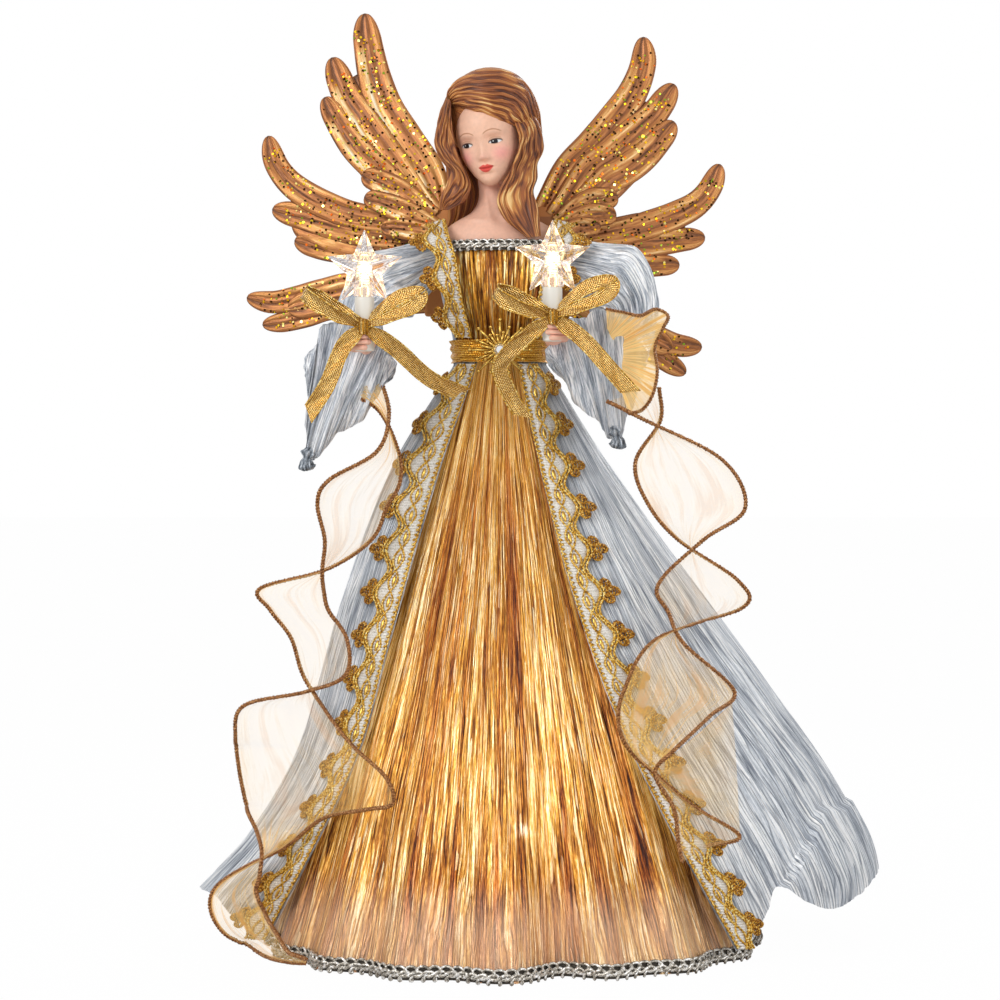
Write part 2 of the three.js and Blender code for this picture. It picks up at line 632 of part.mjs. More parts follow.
// Lapel lace: a flat strip from the sash over the chest to the shoulder
function makeLapel(side, sign) {
  const edge = (list) => new THREE.CatmullRomCurve3(
    list.map(([out, y, rise]) => point(sign * out, y, BODY_FOOT + rise)),
  );
  const inner = edge(LAPEL_INNER);
  const outer = edge(LAPEL_OUTER);
  const stations = 2 * Math.round(outer.getLength() / FAN_PITCH) + 3;
  const notch = TRIM_NOTCH / TRIM_WIDTH;
  const rings = spread(stations, (k) => {
    const share = k / (stations - 1);
    const from = inner.getPoint(share);
    const to = from.clone().lerp(outer.getPoint(share), k % 2 ? 1 : notch);
    const out = inner.getTangent(share).cross(to.clone().sub(from)).normalize().multiplyScalar(TRIM_DEPTH / 2);
    return [from.clone().add(out), to.clone().add(out), to.clone().sub(out), from.clone().sub(out)];
  });
  add(`lapel_trim_${side}`, loft(rings), LACE);
}

// Wings: feathers fused to a root plate, with a hole for the screw
function feather([root, bend, tip, width], order, y) {
  const [a, b, c] = [root, bend, tip].map(([x, rise]) => new THREE.Vector2(x, BRACKET_Z + rise));
  const spine = new THREE.QuadraticBezierCurve(a, b, c);
  const rings = spread(FEATHER_STEPS + 1, (i) => {
    const share = i / FEATHER_STEPS;
    const middle = spine.getPoint(share);
    const across = spine.getTangent(share);
    const round = Math.sqrt(Math.max(0.03, 1 - Math.max(0, (share - 0.7) / 0.3) ** 2));
    const half = (width / 2) * lerp(0.72, 1, share) * round;
    const thick = (FEATHER_DEPTH / 2) * lerp(0.6, 1, round);
    const away = Math.max(0, Math.hypot(middle.x, middle.y - BRACKET_Z) - WING_PLATE.outer) / WING_SPAN;
    const depth = y + WING_DEPTH / 2 + WING_SWEEP * away + 0.2 * order;
    return [
      point(middle.x - across.y * half, depth, middle.y + across.x * half),
      point(middle.x, depth - thick, middle.y),
      point(middle.x + across.y * half, depth, middle.y - across.x * half),
      point(middle.x, depth + thick, middle.y),
    ];
  });
  return loft(rings);
}

function makeWings() {
  const halfHeight = BRACKET.height / 2;
  const upperY = BRACKET_Y + BRACKET.depth + GAP;
  const lowerY = upperY + WING_DEPTH + GAP;
  const headY = lowerY + WING_DEPTH + GAP;
  const screwZ = BRACKET_Z + SCREW.rise;
  const hole = (sign) => rod(
    [point(sign * SCREW_X, BRACKET_Y - 1, screwZ), point(sign * SCREW_X, headY + 1, screwZ)],
    SCREW.radius + GAP, 8, 1,
  );
  const plate = box(
    point(-BRACKET.width / 2, BRACKET_Y, BRACKET_Z - halfHeight),
    point(BRACKET.width / 2, BRACKET_Y + BRACKET.depth, BRACKET_Z + halfHeight),
  );
  add('wing_bracket', cut(plate, hole(-1), hole(1)), WHITE_PLASTIC);
  for (const [side, sign] of [['left', -1], ['right', 1]]) {
    const levels = [
      ['upper', UPPER_FEATHERS[side], UPPER_PLATE, upperY, -1],
      ['lower', LOWER_FEATHERS[side], LOWER_PLATE, lowerY, 1],
    ];
    for (const [level, feathers, [low, high], y, order] of levels) {
      const ends = [sign * WING_PLATE.inner, sign * WING_PLATE.outer].sort((a, b) => a - b);
      const root = box(point(ends[0], y, BRACKET_Z + low), point(ends[1], y + WING_DEPTH, BRACKET_Z + high));
      const blades = feathers.map((row, i) => feather(row, order * i, y));
      add(`wing_${level}_${side}`, cut(join(root, ...blades), hole(sign)), WING_PAINT);
    }
    const profile = [[0, 0], [SCREW.head, 0], [SCREW.head, SCREW.headDepth], [0, SCREW.headDepth]];
    const head = turned(profile, 8).rotateX(-Math.PI / 2).translate(sign * SCREW_X, headY, screwZ);
    const shank = rod(
      [point(sign * SCREW_X, BRACKET_Y + GAP, screwZ), point(sign * SCREW_X, headY + GAP, screwZ)],
      SCREW.radius, 8, 1,
    );
    add(`wing_screw_${side}`, join(head, shank), STEEL);
  }
}

// Lamps clipped round the cone, pointing out, and the wire that joins them
function makeLamps() {
  const slope = Math.atan((CONE_RADIUS - CONE_TOP_RADIUS) / CONE_HEIGHT);
  const seat = SOCKET_LENGTH - SOCKET_DEPTH + GAP;
  const socket = [
    [0, 0], [SOCKET_RADIUS, 0], [SOCKET_RADIUS, SOCKET_LENGTH], [SOCKET_BORE, SOCKET_LENGTH],
    [SOCKET_BORE, SOCKET_LENGTH - SOCKET_DEPTH], [0, SOCKET_LENGTH - SOCKET_DEPTH],
  ];
  const bulb = [
    [0, seat], [LAMP_RADIUS, seat], [LAMP_RADIUS, SOCKET_LENGTH + LAMP_REACH * 0.6],
    [LAMP_RADIUS * 0.55, SOCKET_LENGTH + LAMP_REACH * 0.9], [0, SOCKET_LENGTH + LAMP_REACH],
  ];
  let number = 0;
  for (const { count, height, turn } of LAMP_RINGS) {
    for (let i = 0; i < count; i += 1) {
      number += 1;
      const lamp = new THREE.Group();
      const angle = degToRad(turn + (360 * i) / count);
      lamp.position.copy(polar(angle, coneRadius(height) + GAP, height));
      lamp.rotation.set(Math.PI / 2 - slope, 0, angle, 'ZYX');
      add(`lamp_socket_${number}`, turned(socket, LAMP_SIDES), WHITE_PLASTIC, lamp);
      add(`lamp_bulb_${number}`, turned(bulb, LAMP_SIDES), CLEAR, lamp);
      topper.add(lamp);
    }
  }
  const [first, second] = LAMP_RINGS.map(({ height }) => height - SOCKET_RADIUS - WIRE_RADIUS - 2 * GAP);
  const turns = [[0, first], [0.86, first], [1, lerp(first, second, 0.5)], [1.14, second], [1.96, second]];
  const points = spread(WIRE_STEPS, (i) => {
    const share = (1.96 * i) / (WIRE_STEPS - 1);
    const z = along(turns, share);
    return polar(degToRad(LAMP_RINGS[0].turn) + 2 * Math.PI * share, coneRadius(z) + WIRE_RADIUS + 2 * GAP, z);
  });
  add('lamp_wire', rod(points, WIRE_RADIUS, 8, WIRE_STEPS), WIRE);
}

// A sleeve: an open tube of cloth through stations of middle, direction, and half sizes to its sides
function sleeve(stations, reference, shape) {
  const last = stations.length - 1;
  const place = (i, station, layer) => {
    const turn = (2 * Math.PI * i) / PUFF_SIDES;
    const { middle, way, half } = stations[station];
    const share = station / last;
    const side = reference.clone().addScaledVector(way, -reference.dot(way)).normalize();
    const up = side.clone().cross(way).normalize();
    const fold = 1 + SLEEVE_FOLD * share * Math.cos(SLEEVE_FOLDS * turn);
    const spot = middle.clone();
    spot.addScaledVector(side, Math.sin(turn) * (half[0] * fold + layer));
    spot.addScaledVector(up, Math.cos(turn) * (half[1] * fold + layer));
    return shape(spot, turn, share);
  };
  return loft(spread(PUFF_SIDES, (i) => [
    ...spread(last + 1, (k) => place(i, k, 0)),
    ...spread(last + 1, (k) => place(i, last - k, -CLOTH)),
  ]), true);
}

function armStations(arm) {
  const { sign, puff, elbow, mouth } = arm;
  const place = (out, y, drop) => point(sign * out, y, SHOULDER_Z - drop);
  const upper = [
    { middle: place(SHOULDER_X, SHOULDER_Y, 0), way: point(sign, 0, 0), half: [9, 9] },
    ...puff.map(([out, y, drop, half], i) => ({
      middle: place(out, y, drop),
      way: point(sign * (2 - i), 0, -1 - i).normalize(),
      half: [half, half],
    })),
    { middle: place(elbow.out, elbow.y, elbow.drop), way: point(0, 0, -1), half: [9.5, 9.5] },
  ];
  const top = elbow.drop + GAP;
  const turn = elbow.y - BEND_RADIUS;
  const mid = (share) => lerp(elbow.out, mouth.out, share);
  const lower = [
    { middle: place(elbow.out, elbow.y, top), way: point(0, 0, -1), half: [9.5, 9.5] },
    {
      middle: place(mid(0.3), turn + BEND_RADIUS * 0.7, top + BEND_RADIUS * 0.7),
      way: point(0, -1, -1).normalize(),
      half: [11, 12],
    },
    { middle: place(mid(0.6), turn, top + BEND_RADIUS), way: point(0, -1, 0), half: [12.5, 15] },
    { middle: place(mid(1), MOUTH_Y, mouth.drop), way: point(0, -1, 0), half: mouth.half },
  ];
  return { upper, lower };
}

function makeArm(side) {
  const arm = ARMS[side];
  const { sign, candle, tail } = arm;
  const { upper, lower } = armStations(arm);
  const plain = (place) => place;
  add(`puff_${side}`, sleeve(upper, point(0, sign, 0), plain), SILVER_CLOTH);
  const droop = (place, turn, share) => {
    const low = Math.max(0, -Math.cos(turn)) ** 2 * share * share;
    return place.add(point(sign * tail.out * low, 0, -tail.drop * low));
  };
  add(`bell_${side}`, sleeve(lower, point(-1, 0, 0), droop), SILVER_CLOTH);
  makeCandle(side, arm, lower);
  const axis = point(sign * candle.out, candle.y, SHOULDER_Z - candle.drop);
  makeBow(side, arm, axis);
}

// Arm core, hand, candle sleeve, bulb and star cover
function makeCandle(side, { sign, elbow, candle }, lower) {
  const foot = SHOULDER_Z - candle.drop;
  const grip = point(sign * candle.out, candle.y, foot + FINGER_RADIUS + 1);
  const reach = CANDLE_RADIUS + GAP + FINGER_RADIUS;
  const back = point(sign * elbow.out * 0.25 + sign * candle.out * 0.75, MOUTH_Y, grip.z).sub(grip).setZ(0).normalize();
  const palm = grip.clone().addScaledVector(back, reach);
  const wrist = palm.clone().addScaledVector(back, 2 * FINGER_RADIUS + 1);
  const core = [
    point(sign * CORE_ANCHOR, SHOULDER_Y, SHOULDER_Z),
    point(sign * SHOULDER_X, SHOULDER_Y, SHOULDER_Z),
    point(sign * (SHOULDER_X + 4), SHOULDER_Y, SHOULDER_Z),
    point(sign * lerp(SHOULDER_X, elbow.out, 0.75), elbow.y / 2, SHOULDER_Z - elbow.drop * 0.4),
    point(sign * elbow.out, elbow.y, SHOULDER_Z - elbow.drop),
    lower[1].middle.clone(),
    lower[2].middle.clone().lerp(lower[3].middle, 0.5).setZ(grip.z - 2),
    wrist.clone().addScaledVector(back, 5),
    wrist.clone().addScaledVector(back, GAP),
  ];
  add(`arm_core_${side}`, rod(core, CORE_RADIUS, 8, 26), WIRE);
  const start = Math.atan2(back.y, back.x);
  const fingers = spread(9, (i) => {
    const angle = start + sign * degToRad(-100 + 25 * i);
    return grip.clone().add(point(reach * Math.cos(angle), reach * Math.sin(angle), 0));
  });
  const hand = join(rod(fingers, FINGER_RADIUS, 8, 14), rod([palm, wrist], FINGER_RADIUS * 0.95, 8, 2));
  add(`hand_${side}`, hand, SKIN);

  const standing = new THREE.Group();
  standing.position.set(grip.x, grip.y, foot);
  topper.add(standing);
  const sleeveProfile = [
    [0, 0], [CANDLE_RADIUS, 0], [CANDLE_RADIUS, CANDLE_HEIGHT], [CANDLE_BORE, CANDLE_HEIGHT],
    [CANDLE_BORE, CANDLE_HEIGHT - CANDLE_BORE_DEPTH], [0, CANDLE_HEIGHT - CANDLE_BORE_DEPTH],
  ];
  add(`candle_${side}`, turned(sleeveProfile, 14), WHITE_PLASTIC, standing);
  const seat = CANDLE_HEIGHT - CANDLE_BORE_DEPTH + GAP;
  const bulbTop = CANDLE_HEIGHT + BULB_REACH;
  const bulb = [
    [0, seat], [BULB_RADIUS, seat], [BULB_RADIUS, bulbTop - BULB_REACH * 0.3],
    [BULB_RADIUS * 0.6, bulbTop - 1], [0, bulbTop],
  ];
  add(`star_bulb_${side}`, turned(bulb, 10), CLEAR, standing);
  const middle = CANDLE_HEIGHT + STAR_RISE;
  const outline = (scale, y) => spread(10, (i) => {
    const radius = scale * (i % 2 ? STAR_INNER : STAR_RADIUS);
    const angle = (Math.PI * i) / 5;
    return point(radius * Math.sin(angle), y, middle + radius * Math.cos(angle));
  });
  const body = loft([
    outline(0.04, -STAR_DEPTH / 2),
    outline(1, -STAR_EDGE / 2),
    outline(1, STAR_EDGE / 2),
    outline(0.04, STAR_DEPTH / 2),
  ]);
  const neckFoot = CANDLE_HEIGHT + GAP;
  const neck = turned([[0, neckFoot], [STAR_NECK, neckFoot], [STAR_NECK, middle], [0, middle]], 12);
  const borePast = neckFoot - 1;
  const boreRadius = BULB_RADIUS + GAP;
  const bore = turned([[0, borePast], [boreRadius, borePast], [boreRadius, bulbTop + GAP], [0, bulbTop + GAP]], 12);
  add(`star_${side}`, cut(join(body, neck), bore), CLEAR, standing);
}

// A flat ribbon along a curve, its width square to the curve and to the direction it is seen from
function ribbon(points, steps) {
  const route = new THREE.CatmullRomCurve3(points, false, 'centripetal');
  const seen = point(0, 1, 0);
  return loft(spread(steps + 1, (i) => {
    const middle = route.getPoint(i / steps);
    const way = route.getTangent(i / steps);
    const wide = points.wide.clone().addScaledVector(way, -points.wide.dot(way)).normalize();
    const thick = way.clone().cross(wide).normalize().multiplyScalar(RIBBON_DEPTH / 2);
    if (thick.dot(seen) < 0 && !points.loop) thick.negate();
    wide.multiplyScalar(RIBBON_WIDTH / 2);
    return [
      middle.clone().add(wide).add(thick), middle.clone().sub(wide).add(thick),
      middle.clone().sub(wide).sub(thick), middle.clone().add(wide).sub(thick),
    ];
  }));
}

function makeBow(side, { loops, tails }, foot) {
  const knot = foot.clone().add(point(0, -CANDLE_RADIUS - GAP - KNOT_HALF[1], KNOT_RISE));
  const pieces = [ball(KNOT_HALF, 10, 6).translate(knot.x, knot.y, knot.z)];
  for (const [x, z] of loops) {
    const way = point(x, 0, z);
    const at = (share, y) => knot.clone().addScaledVector(way, share).add(point(0, y, 0));
    const path = [at(0.04, 0), at(0.5, -5), at(0.9, -5), at(1, -2.6), at(0.9, -0.4), at(0.5, 0.4), at(0.08, 0.6)];
    path.wide = point(-z, 0, x).normalize();
    path.loop = true;
    pieces.push(ribbon(path, 10));
  }
  for (const tail of tails) {
    const path = [knot.clone(), ...tail.map(([x, y, z]) => knot.clone().add(point(x, y, z)))];
    const way = path.at(-1).clone().sub(knot);
    path.wide = point(-way.z, 0, way.x).normalize();
    pieces.push(ribbon(path, 6));
  }
  add(`bow_${side}`, join(...pieces), RIBBON);
}

// Scarves: a strip between two edges, pinched where they cross, outside the coat below and hung from
// the cuff above
function scarfDepth(x, z) {
  const angles = coatAngles(z);
  let y = -Math.abs(x);
  for (let i = 0; i < 16; i += 1) {
    const angle = Math.atan2(x, -y);
    const round = angle < 0 ? angle + 2 * Math.PI : angle;
    const across = THREE.MathUtils.clamp((round - angles[0]) / (angles.at(-1) - angles[0]), 0, 1);
    const radius = coatRadius(round, z, across) + CLOTH + TRIM_SEAT + TRIM_DEPTH + SCARF_CLEAR;
    y = lerp(y, -Math.sqrt(Math.max(4, radius * radius - x * x)), 0.5);
  }
  const hung = MOUTH_Y - GAP - SCARF_DEPTH / 2;
  return lerp(y, hung, smoothstep(z, ...SCARF_FREE));
}

function makeScarf(side) {
  const stretch = (SHOULDER_Z - ARMS.left.mouth.drop) / SCARF_DRAWN_TOP;
  const pairs = SCARVES[side].map(([ax, az, bx, bz]) => {
    const ends = [[ax, az], [bx, bz]].sort((a, b) => a[0] - b[0]);
    const spare = Math.max(0, SCARF_PINCH - ends[1][0] + ends[0][0]) / 2;
    return ends.map(([x, z], i) => {
      const height = Math.max(SCARF_LOW, z * stretch);
      const out = x + (i ? spare : -spare);
      return point(out, scarfDepth(out, height), height);
    });
  });
  const rings = pairs.map(([a, b], i) => {
    const [before, after] = [pairs[Math.max(0, i - 1)], pairs[Math.min(pairs.length - 1, i + 1)]];
    const way = after[0].clone().add(after[1]).sub(before[0]).sub(before[1]);
    const out = way.cross(a.clone().sub(b)).normalize().multiplyScalar(SCARF_DEPTH / 2);
    const edge = spread(SCARF_COLUMNS, (k) => {
      const place = a.clone().lerp(b, k / (SCARF_COLUMNS - 1));
      return place.setY(Math.min(place.y, scarfDepth(place.x, place.z)));
    });
    return [...edge.map((p) => p.clone().add(out)), ...edge.toReversed().map((p) => p.clone().sub(out))];
  });
  add(`scarf_${side}`, loft(rings), ORGANZA);
}

makeCone();
makeBody();
makeBrooch();
makeBust();
makeSkirt();
makeCoat();
makeWings();
makeLamps();
for (const side of ['left', 'right']) {
  makeArm(side);
  makeScarf(side);
}

export default topper;
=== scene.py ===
# %% [markdown]
# # A lit angel tree topper
# A dressed figure stands on a hollow cone, with moulded wings, lamps in its hands and lamps under
# its skirt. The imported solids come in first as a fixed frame, and every piece below is made in the
# place that its solid holds. Lengths are written in millimetres and turned to metres when a mesh
# is finished, because cloth and lace are easier to think about in millimetres.

# %% Frame
import math
import random
from bisect import bisect_left

import bmesh
import bpy
from mathutils import Matrix, Vector, noise


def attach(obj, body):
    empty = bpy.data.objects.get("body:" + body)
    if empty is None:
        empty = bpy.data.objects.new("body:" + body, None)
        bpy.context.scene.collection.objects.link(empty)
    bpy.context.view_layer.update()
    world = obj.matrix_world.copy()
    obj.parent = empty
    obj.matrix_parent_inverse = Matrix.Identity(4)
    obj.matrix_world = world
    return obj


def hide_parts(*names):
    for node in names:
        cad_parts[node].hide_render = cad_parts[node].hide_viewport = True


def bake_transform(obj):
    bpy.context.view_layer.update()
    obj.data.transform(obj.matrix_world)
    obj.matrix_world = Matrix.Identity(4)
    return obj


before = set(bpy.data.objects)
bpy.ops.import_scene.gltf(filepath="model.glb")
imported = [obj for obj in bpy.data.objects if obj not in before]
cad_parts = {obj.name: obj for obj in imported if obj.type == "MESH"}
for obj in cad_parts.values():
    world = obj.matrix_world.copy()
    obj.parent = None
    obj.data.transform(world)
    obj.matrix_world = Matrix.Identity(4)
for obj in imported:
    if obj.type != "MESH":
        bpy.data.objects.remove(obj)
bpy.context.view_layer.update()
MM = 0.001
FULL = 2 * math.pi

# %% [markdown]
# The photograph was taken level with the figure's knees, from far enough away that the near and
# far edges of the hem differ by only a few percent. A long lens 1.2 m away gives the same.

# %% Camera
CAMERA_AWAY = 1200
CAMERA_HEIGHT = 190
VIEW_WIDTH = 428  # what the picture spans at the figure's middle
PICTURE = 1000  # pixels across the picture
camera = bpy.data.objects.new("camera", bpy.data.cameras.new("camera"))
camera.data.sensor_width = 36
camera.data.lens = camera.data.sensor_width * CAMERA_AWAY / VIEW_WIDTH
camera.location = Vector((0, -CAMERA_AWAY, CAMERA_HEIGHT)) * MM
camera.rotation_euler = (math.pi / 2, 0, 0)
bpy.context.scene.collection.objects.link(camera)
bpy.context.scene.camera = camera
bpy.context.scene.view_settings.view_transform = "Standard"
print("lens:", round(camera.data.lens, 1), "mm")

# %% [markdown]
# A few small functions serve every material. The first turns a colour written as sRGB hex into the
# linear values that shaders use, and the second adds one node with its settings and links. The
# rest add the nodes that are needed most: sums, mixtures, ramps of colour and bumps.

# %% Colour and nodes
def paint(code):
    channels = [int(code[i:i + 2], 16) / 255 for i in (1, 3, 5)]
    return (*[c / 12.92 if c <= 0.04045 else ((c + 0.055) / 1.055) ** 2.4 for c in channels], 1)


def node(tree, kind, settings=None, inputs=None):
    made = tree.nodes.new("ShaderNode" + kind)
    for name, value in (settings or {}).items():
        setattr(made, name, value)
    for name, value in (inputs or {}).items():
        if isinstance(value, bpy.types.NodeSocket):
            tree.links.new(value, made.inputs[name])
        else:
            made.inputs[name].default_value = value
    return made


def calc(tree, operation, *values):
    return node(tree, "Math", {"operation": operation}, dict(enumerate(values))).outputs[0]


def mix(tree, share, a, b):
    return node(tree, "Mix", None, {"Factor": share, 2: a, 3: b}).outputs[0]


def tinge(tree, share, colour, code, how="MIX"):
    return node(tree, "Mix", {"data_type": "RGBA", "blend_type": how},
                {"Factor": share, 6: colour, 7: paint(code)}).outputs[2]


def remap(tree, value, low, high, to_low, to_high):
    return node(tree, "MapRange", None, {"Value": value, "From Min": low, "From Max": high,
                                         "To Min": to_low, "To Max": to_high}).outputs[0]


def ramp(tree, value, stops):
    made = node(tree, "ValToRGB", None, {"Fac": value})
    elements = made.color_ramp.elements
    while len(elements) < len(stops):
        elements.new(1)
    for element, (place, code) in zip(elements, stops):
        element.position = place
        element.color = paint(code)
    return made.outputs["Color"]


def attribute(tree, name, output="Fac"):
    return node(tree, "Attribute", {"attribute_name": name}).outputs[output]


def plug(tree, shader, **sockets):
    for name, value in sockets.items():
        tree.links.new(value, shader.inputs[name.replace("_", " ")])


def emboss(tree, shader, height, strength, relief):
    bump = node(tree, "Bump", None,
                {"Strength": strength, "Distance": relief * MM, "Height": height})
    plug(tree, shader, Normal=bump.outputs[0])


def surface(name, **constants):
    material = bpy.data.materials.new(name)
    material.use_nodes = True
    tree = material.node_tree
    shader = tree.nodes["Principled BSDF"]
    for socket, value in constants.items():
        shader.inputs[socket.replace("_", " ")].default_value = value
    return material, tree, shader


# %% [markdown]
# The studio is white all round. The world shows white to the camera, to reflections and through
# glass, and lights the cloth more softly than that, so that folds keep their shade. The floor is
# white card that keeps a faint shadow. Three large soft lamps model the folds.

# %% Studio
SOFT_LIGHT = 0.42  # how brightly the world lights the cloth
FLOOR_WHITE = 0.985  # the share of the floor that shows as plain white
AIM = Vector((0, 0, 200))
LAMPS = [  # name, place, width and power
    ("key", (-700, -900, 800), 700, 7.5),
    ("fill", (800, -800, 420), 600, 2.6),
    ("rim", (350, 700, 700), 500, 2.6),
]
world = bpy.data.worlds.new("white studio")
bpy.context.scene.world = world
world.use_nodes = True
sky = world.node_tree
seen = node(sky, "LightPath").outputs
straight = calc(sky, "MAXIMUM", seen["Is Camera Ray"], seen["Is Glossy Ray"])
clear = calc(sky, "MAXIMUM", straight, seen["Is Transmission Ray"])
sky.nodes["Background"].inputs["Color"].default_value = (1, 1, 1, 1)
plug(sky, sky.nodes["Background"], Strength=remap(sky, clear, 0, 1, SOFT_LIGHT, 1))

floor_mesh = bmesh.new()
bmesh.ops.create_grid(floor_mesh, x_segments=1, y_segments=1, size=30)
floor_data = bpy.data.meshes.new("floor")
floor_mesh.to_mesh(floor_data)
floor = bpy.data.objects.new("floor", floor_data)
bpy.context.scene.collection.objects.link(floor)
card, card_tree, card_shader = surface("white card floor", Base_Color=(0.9, 0.9, 0.9, 1),
                                       Roughness=0.9)
card_seen = node(card_tree, "LightPath").outputs["Is Camera Ray"]
card_white = node(card_tree, "Emission", None, {"Color": (1, 1, 1, 1), "Strength": 1.0})
card_mix = node(card_tree, "MixShader", None,
                {0: calc(card_tree, "MULTIPLY", card_seen, FLOOR_WHITE),
                 1: card_shader.outputs[0], 2: card_white.outputs[0]})
plug(card_tree, card_tree.nodes["Material Output"], Surface=card_mix.outputs[0])
floor.data.materials.append(card)

for name, place, size, power in LAMPS:
    lamp = bpy.data.objects.new(name, bpy.data.lights.new(name, "AREA"))
    lamp.data.shape = "DISK"
    lamp.data.size = size * MM
    lamp.data.energy = power
    lamp.location = Vector(place) * MM
    aim = AIM * MM - lamp.location
    lamp.rotation_euler = aim.to_track_quat("-Z", "Y").to_euler()
    bpy.context.scene.collection.objects.link(lamp)
print("studio: white world, card floor and", len(LAMPS), "lamps")

# %% [markdown]
# Nearly everything on the figure is cloth, ribbon or cord. Cloth starts as a flat grid with its own
# UV map, and each corner of the grid is then moved to its place on the figure, so the weave and
# the creases of the material follow the cloth. A cord is such a grid rolled round a line. Pieces
# that repeat, such as beads and flakes, start from a ball or a disc.

# %% Tools
SEW = 0.002  # corners closer than this are joined
STRAND_OFF, STRAND = 0.5, 0.62  # a strand's way from the cord's middle and its radius, as shares


def lerp(a, b, share):
    return a + (b - a) * share


def smooth(share):
    share = min(1, max(0, share))
    return share * share * (3 - 2 * share)


def step(low, high, value):
    return smooth((value - low) / (high - low))


def hump(value, middle, width):
    return math.exp(-(((value - middle) / width) ** 2))


def root(value):
    return math.sqrt(max(0.0, value))


def curve(pairs, place):
    """A smooth curve through (place, value) pairs; values are numbers or vectors."""
    place = min(pairs[-1][0], max(pairs[0][0], place))
    i = max(1, bisect_left(pairs, place, key=lambda pair: pair[0]))
    (p0, v0), (p1, v1) = pairs[i - 1], pairs[i]
    before = pairs[max(0, i - 2)]
    after = pairs[min(len(pairs) - 1, i + 1)]
    span = p1 - p0
    rise0 = (v1 - before[1]) * (span / (p1 - before[0]))
    rise1 = (after[1] - v0) * (span / (after[0] - p0))
    t = (place - p0) / span
    t2, t3 = t * t, t * t * t
    return (v0 * (2 * t3 - 3 * t2 + 1) + rise0 * (t3 - 2 * t2 + t)
            + v1 * (3 * t2 - 2 * t3) + rise1 * (t3 - t2))


def paces(points):
    """The length run at each of the points."""
    run = [0.0]
    for a, b in zip(points, points[1:]):
        run.append(run[-1] + max(1e-6, (b - a).length))
    return run


def levels(*rows):
    """Pairs for a curve, from rows that start with the place and go on with a vector."""
    return [(place, Vector(values)) for place, *values in rows]


def through(points):
    """A function of 0 to 1 that runs smoothly through the points at an even pace."""
    points = [Vector(p) for p in points]
    run = paces(points)
    pairs = [(d / run[-1], p) for d, p in zip(run, points)]
    return lambda share: curve(pairs, share)


def ripple(x, y, seed=0.0):
    return noise.noise(Vector((x, y, seed)))


def once(items):
    """The items without repeats, in an order that is the same each run."""
    return list(dict.fromkeys(items))


def polar(angle, radius, z):
    return Vector((radius * math.sin(angle), -radius * math.cos(angle), z))


def lay(bm, columns, rows, place, closed=False, mark=None):
    """A grid of cloth with its UV map, moved corner by corner to place(u, v); closed sews its
    sides. mark(corner, u, v) may store an attribute on each corner."""
    bm.loops.layers.uv.verify()
    made = bmesh.ops.create_grid(bm, x_segments=columns, y_segments=rows, size=0.5,
                                 calc_uvs=True)["verts"]
    for corner in made:
        u, v = corner.co.x + 0.5, corner.co.y + 0.5
        corner.co = place(u, v)
        if mark:
            mark(corner, u, v)
    if closed:
        bmesh.ops.remove_doubles(bm, verts=made, dist=SEW)
    return made


def roll(bm, points, radius, sides=6, ribs=0, groove=0.0, mark=None):
    """A round cord through the points; radius is a number or a function of 0 to 1 along it. So many
    ribs run its length, parted by grooves as deep as that share of the radius."""
    points = [Vector(p) for p in points]
    last = len(points) - 1
    size = radius if callable(radius) else lambda share: radius
    ways = [(points[min(last, i + 1)] - points[max(0, i - 1)]).normalized()
            for i in range(last + 1)]
    side = ways[0].orthogonal().normalized()
    sides_at = []
    for way in ways:
        side = (side - way * side.dot(way)).normalized()
        sides_at.append(side)

    def place(u, v):
        i = round(v * last)
        turn = FULL * u
        across = sides_at[i] * math.cos(turn) + ways[i].cross(sides_at[i]) * math.sin(turn)
        return points[i] + across * size(i / last) * (1 + groove * math.cos(ribs * turn))

    made = [v for v in lay(bm, sides, last, place, closed=True, mark=mark) if v.is_valid]
    ends = once(e for v in made for e in v.link_edges if e.is_boundary)
    bmesh.ops.holes_fill(bm, edges=ends, sides=0)


def twist(bm, points, radius, pitch, strands=2, sides=5):
    """A cord laid from twisted strands round the line through the points."""
    points = [Vector(p) for p in points]
    for k in range(strands):
        run, line, side = 0.0, [], None
        for i, here in enumerate(points):
            way = (points[min(len(points) - 1, i + 1)] - points[max(0, i - 1)]).normalized()
            side = way.orthogonal() if side is None else side - way * side.dot(way)
            side.normalize()
            run += (here - points[i - 1]).length if i else 0
            turn = FULL * (run / pitch + k / strands)
            out = side * math.cos(turn) + way.cross(side) * math.sin(turn)
            line.append(here + out * radius * STRAND_OFF)
        roll(bm, line, radius * STRAND, sides)


def pebble(bm, place, half, turn=None, finest=2):
    """A small rounded body, turned and stretched to its half sizes."""
    stretch = Matrix.Diagonal((*half, 1))
    turned = turn.to_4x4() if turn else Matrix.Identity(4)
    bmesh.ops.create_icosphere(bm, subdivisions=finest, radius=1,
                               matrix=Matrix.Translation(place) @ turned @ stretch)


def make(name, bm, body, material, nodes=(), out=True, flat=False):
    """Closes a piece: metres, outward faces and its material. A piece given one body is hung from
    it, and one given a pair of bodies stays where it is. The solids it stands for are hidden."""
    if out:
        bmesh.ops.recalc_face_normals(bm, faces=bm.faces)
    bmesh.ops.scale(bm, vec=(MM, MM, MM), verts=bm.verts)
    data = bpy.data.meshes.new(name)
    bm.to_mesh(data)
    bm.free()
    piece = bpy.data.objects.new(name, data)
    bpy.context.scene.collection.objects.link(piece)
    data.materials.append(material)
    if not flat:
        data.polygons.foreach_set("use_smooth", [True] * len(data.polygons))
    if isinstance(body, str):
        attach(piece, body)
    else:
        Vector(body[2]) * MM
        Vector(body[3]) * MM
        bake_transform(piece)
    if nodes:
        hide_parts(*nodes)
    print(name, len(data.polygons), "faces")
    return piece


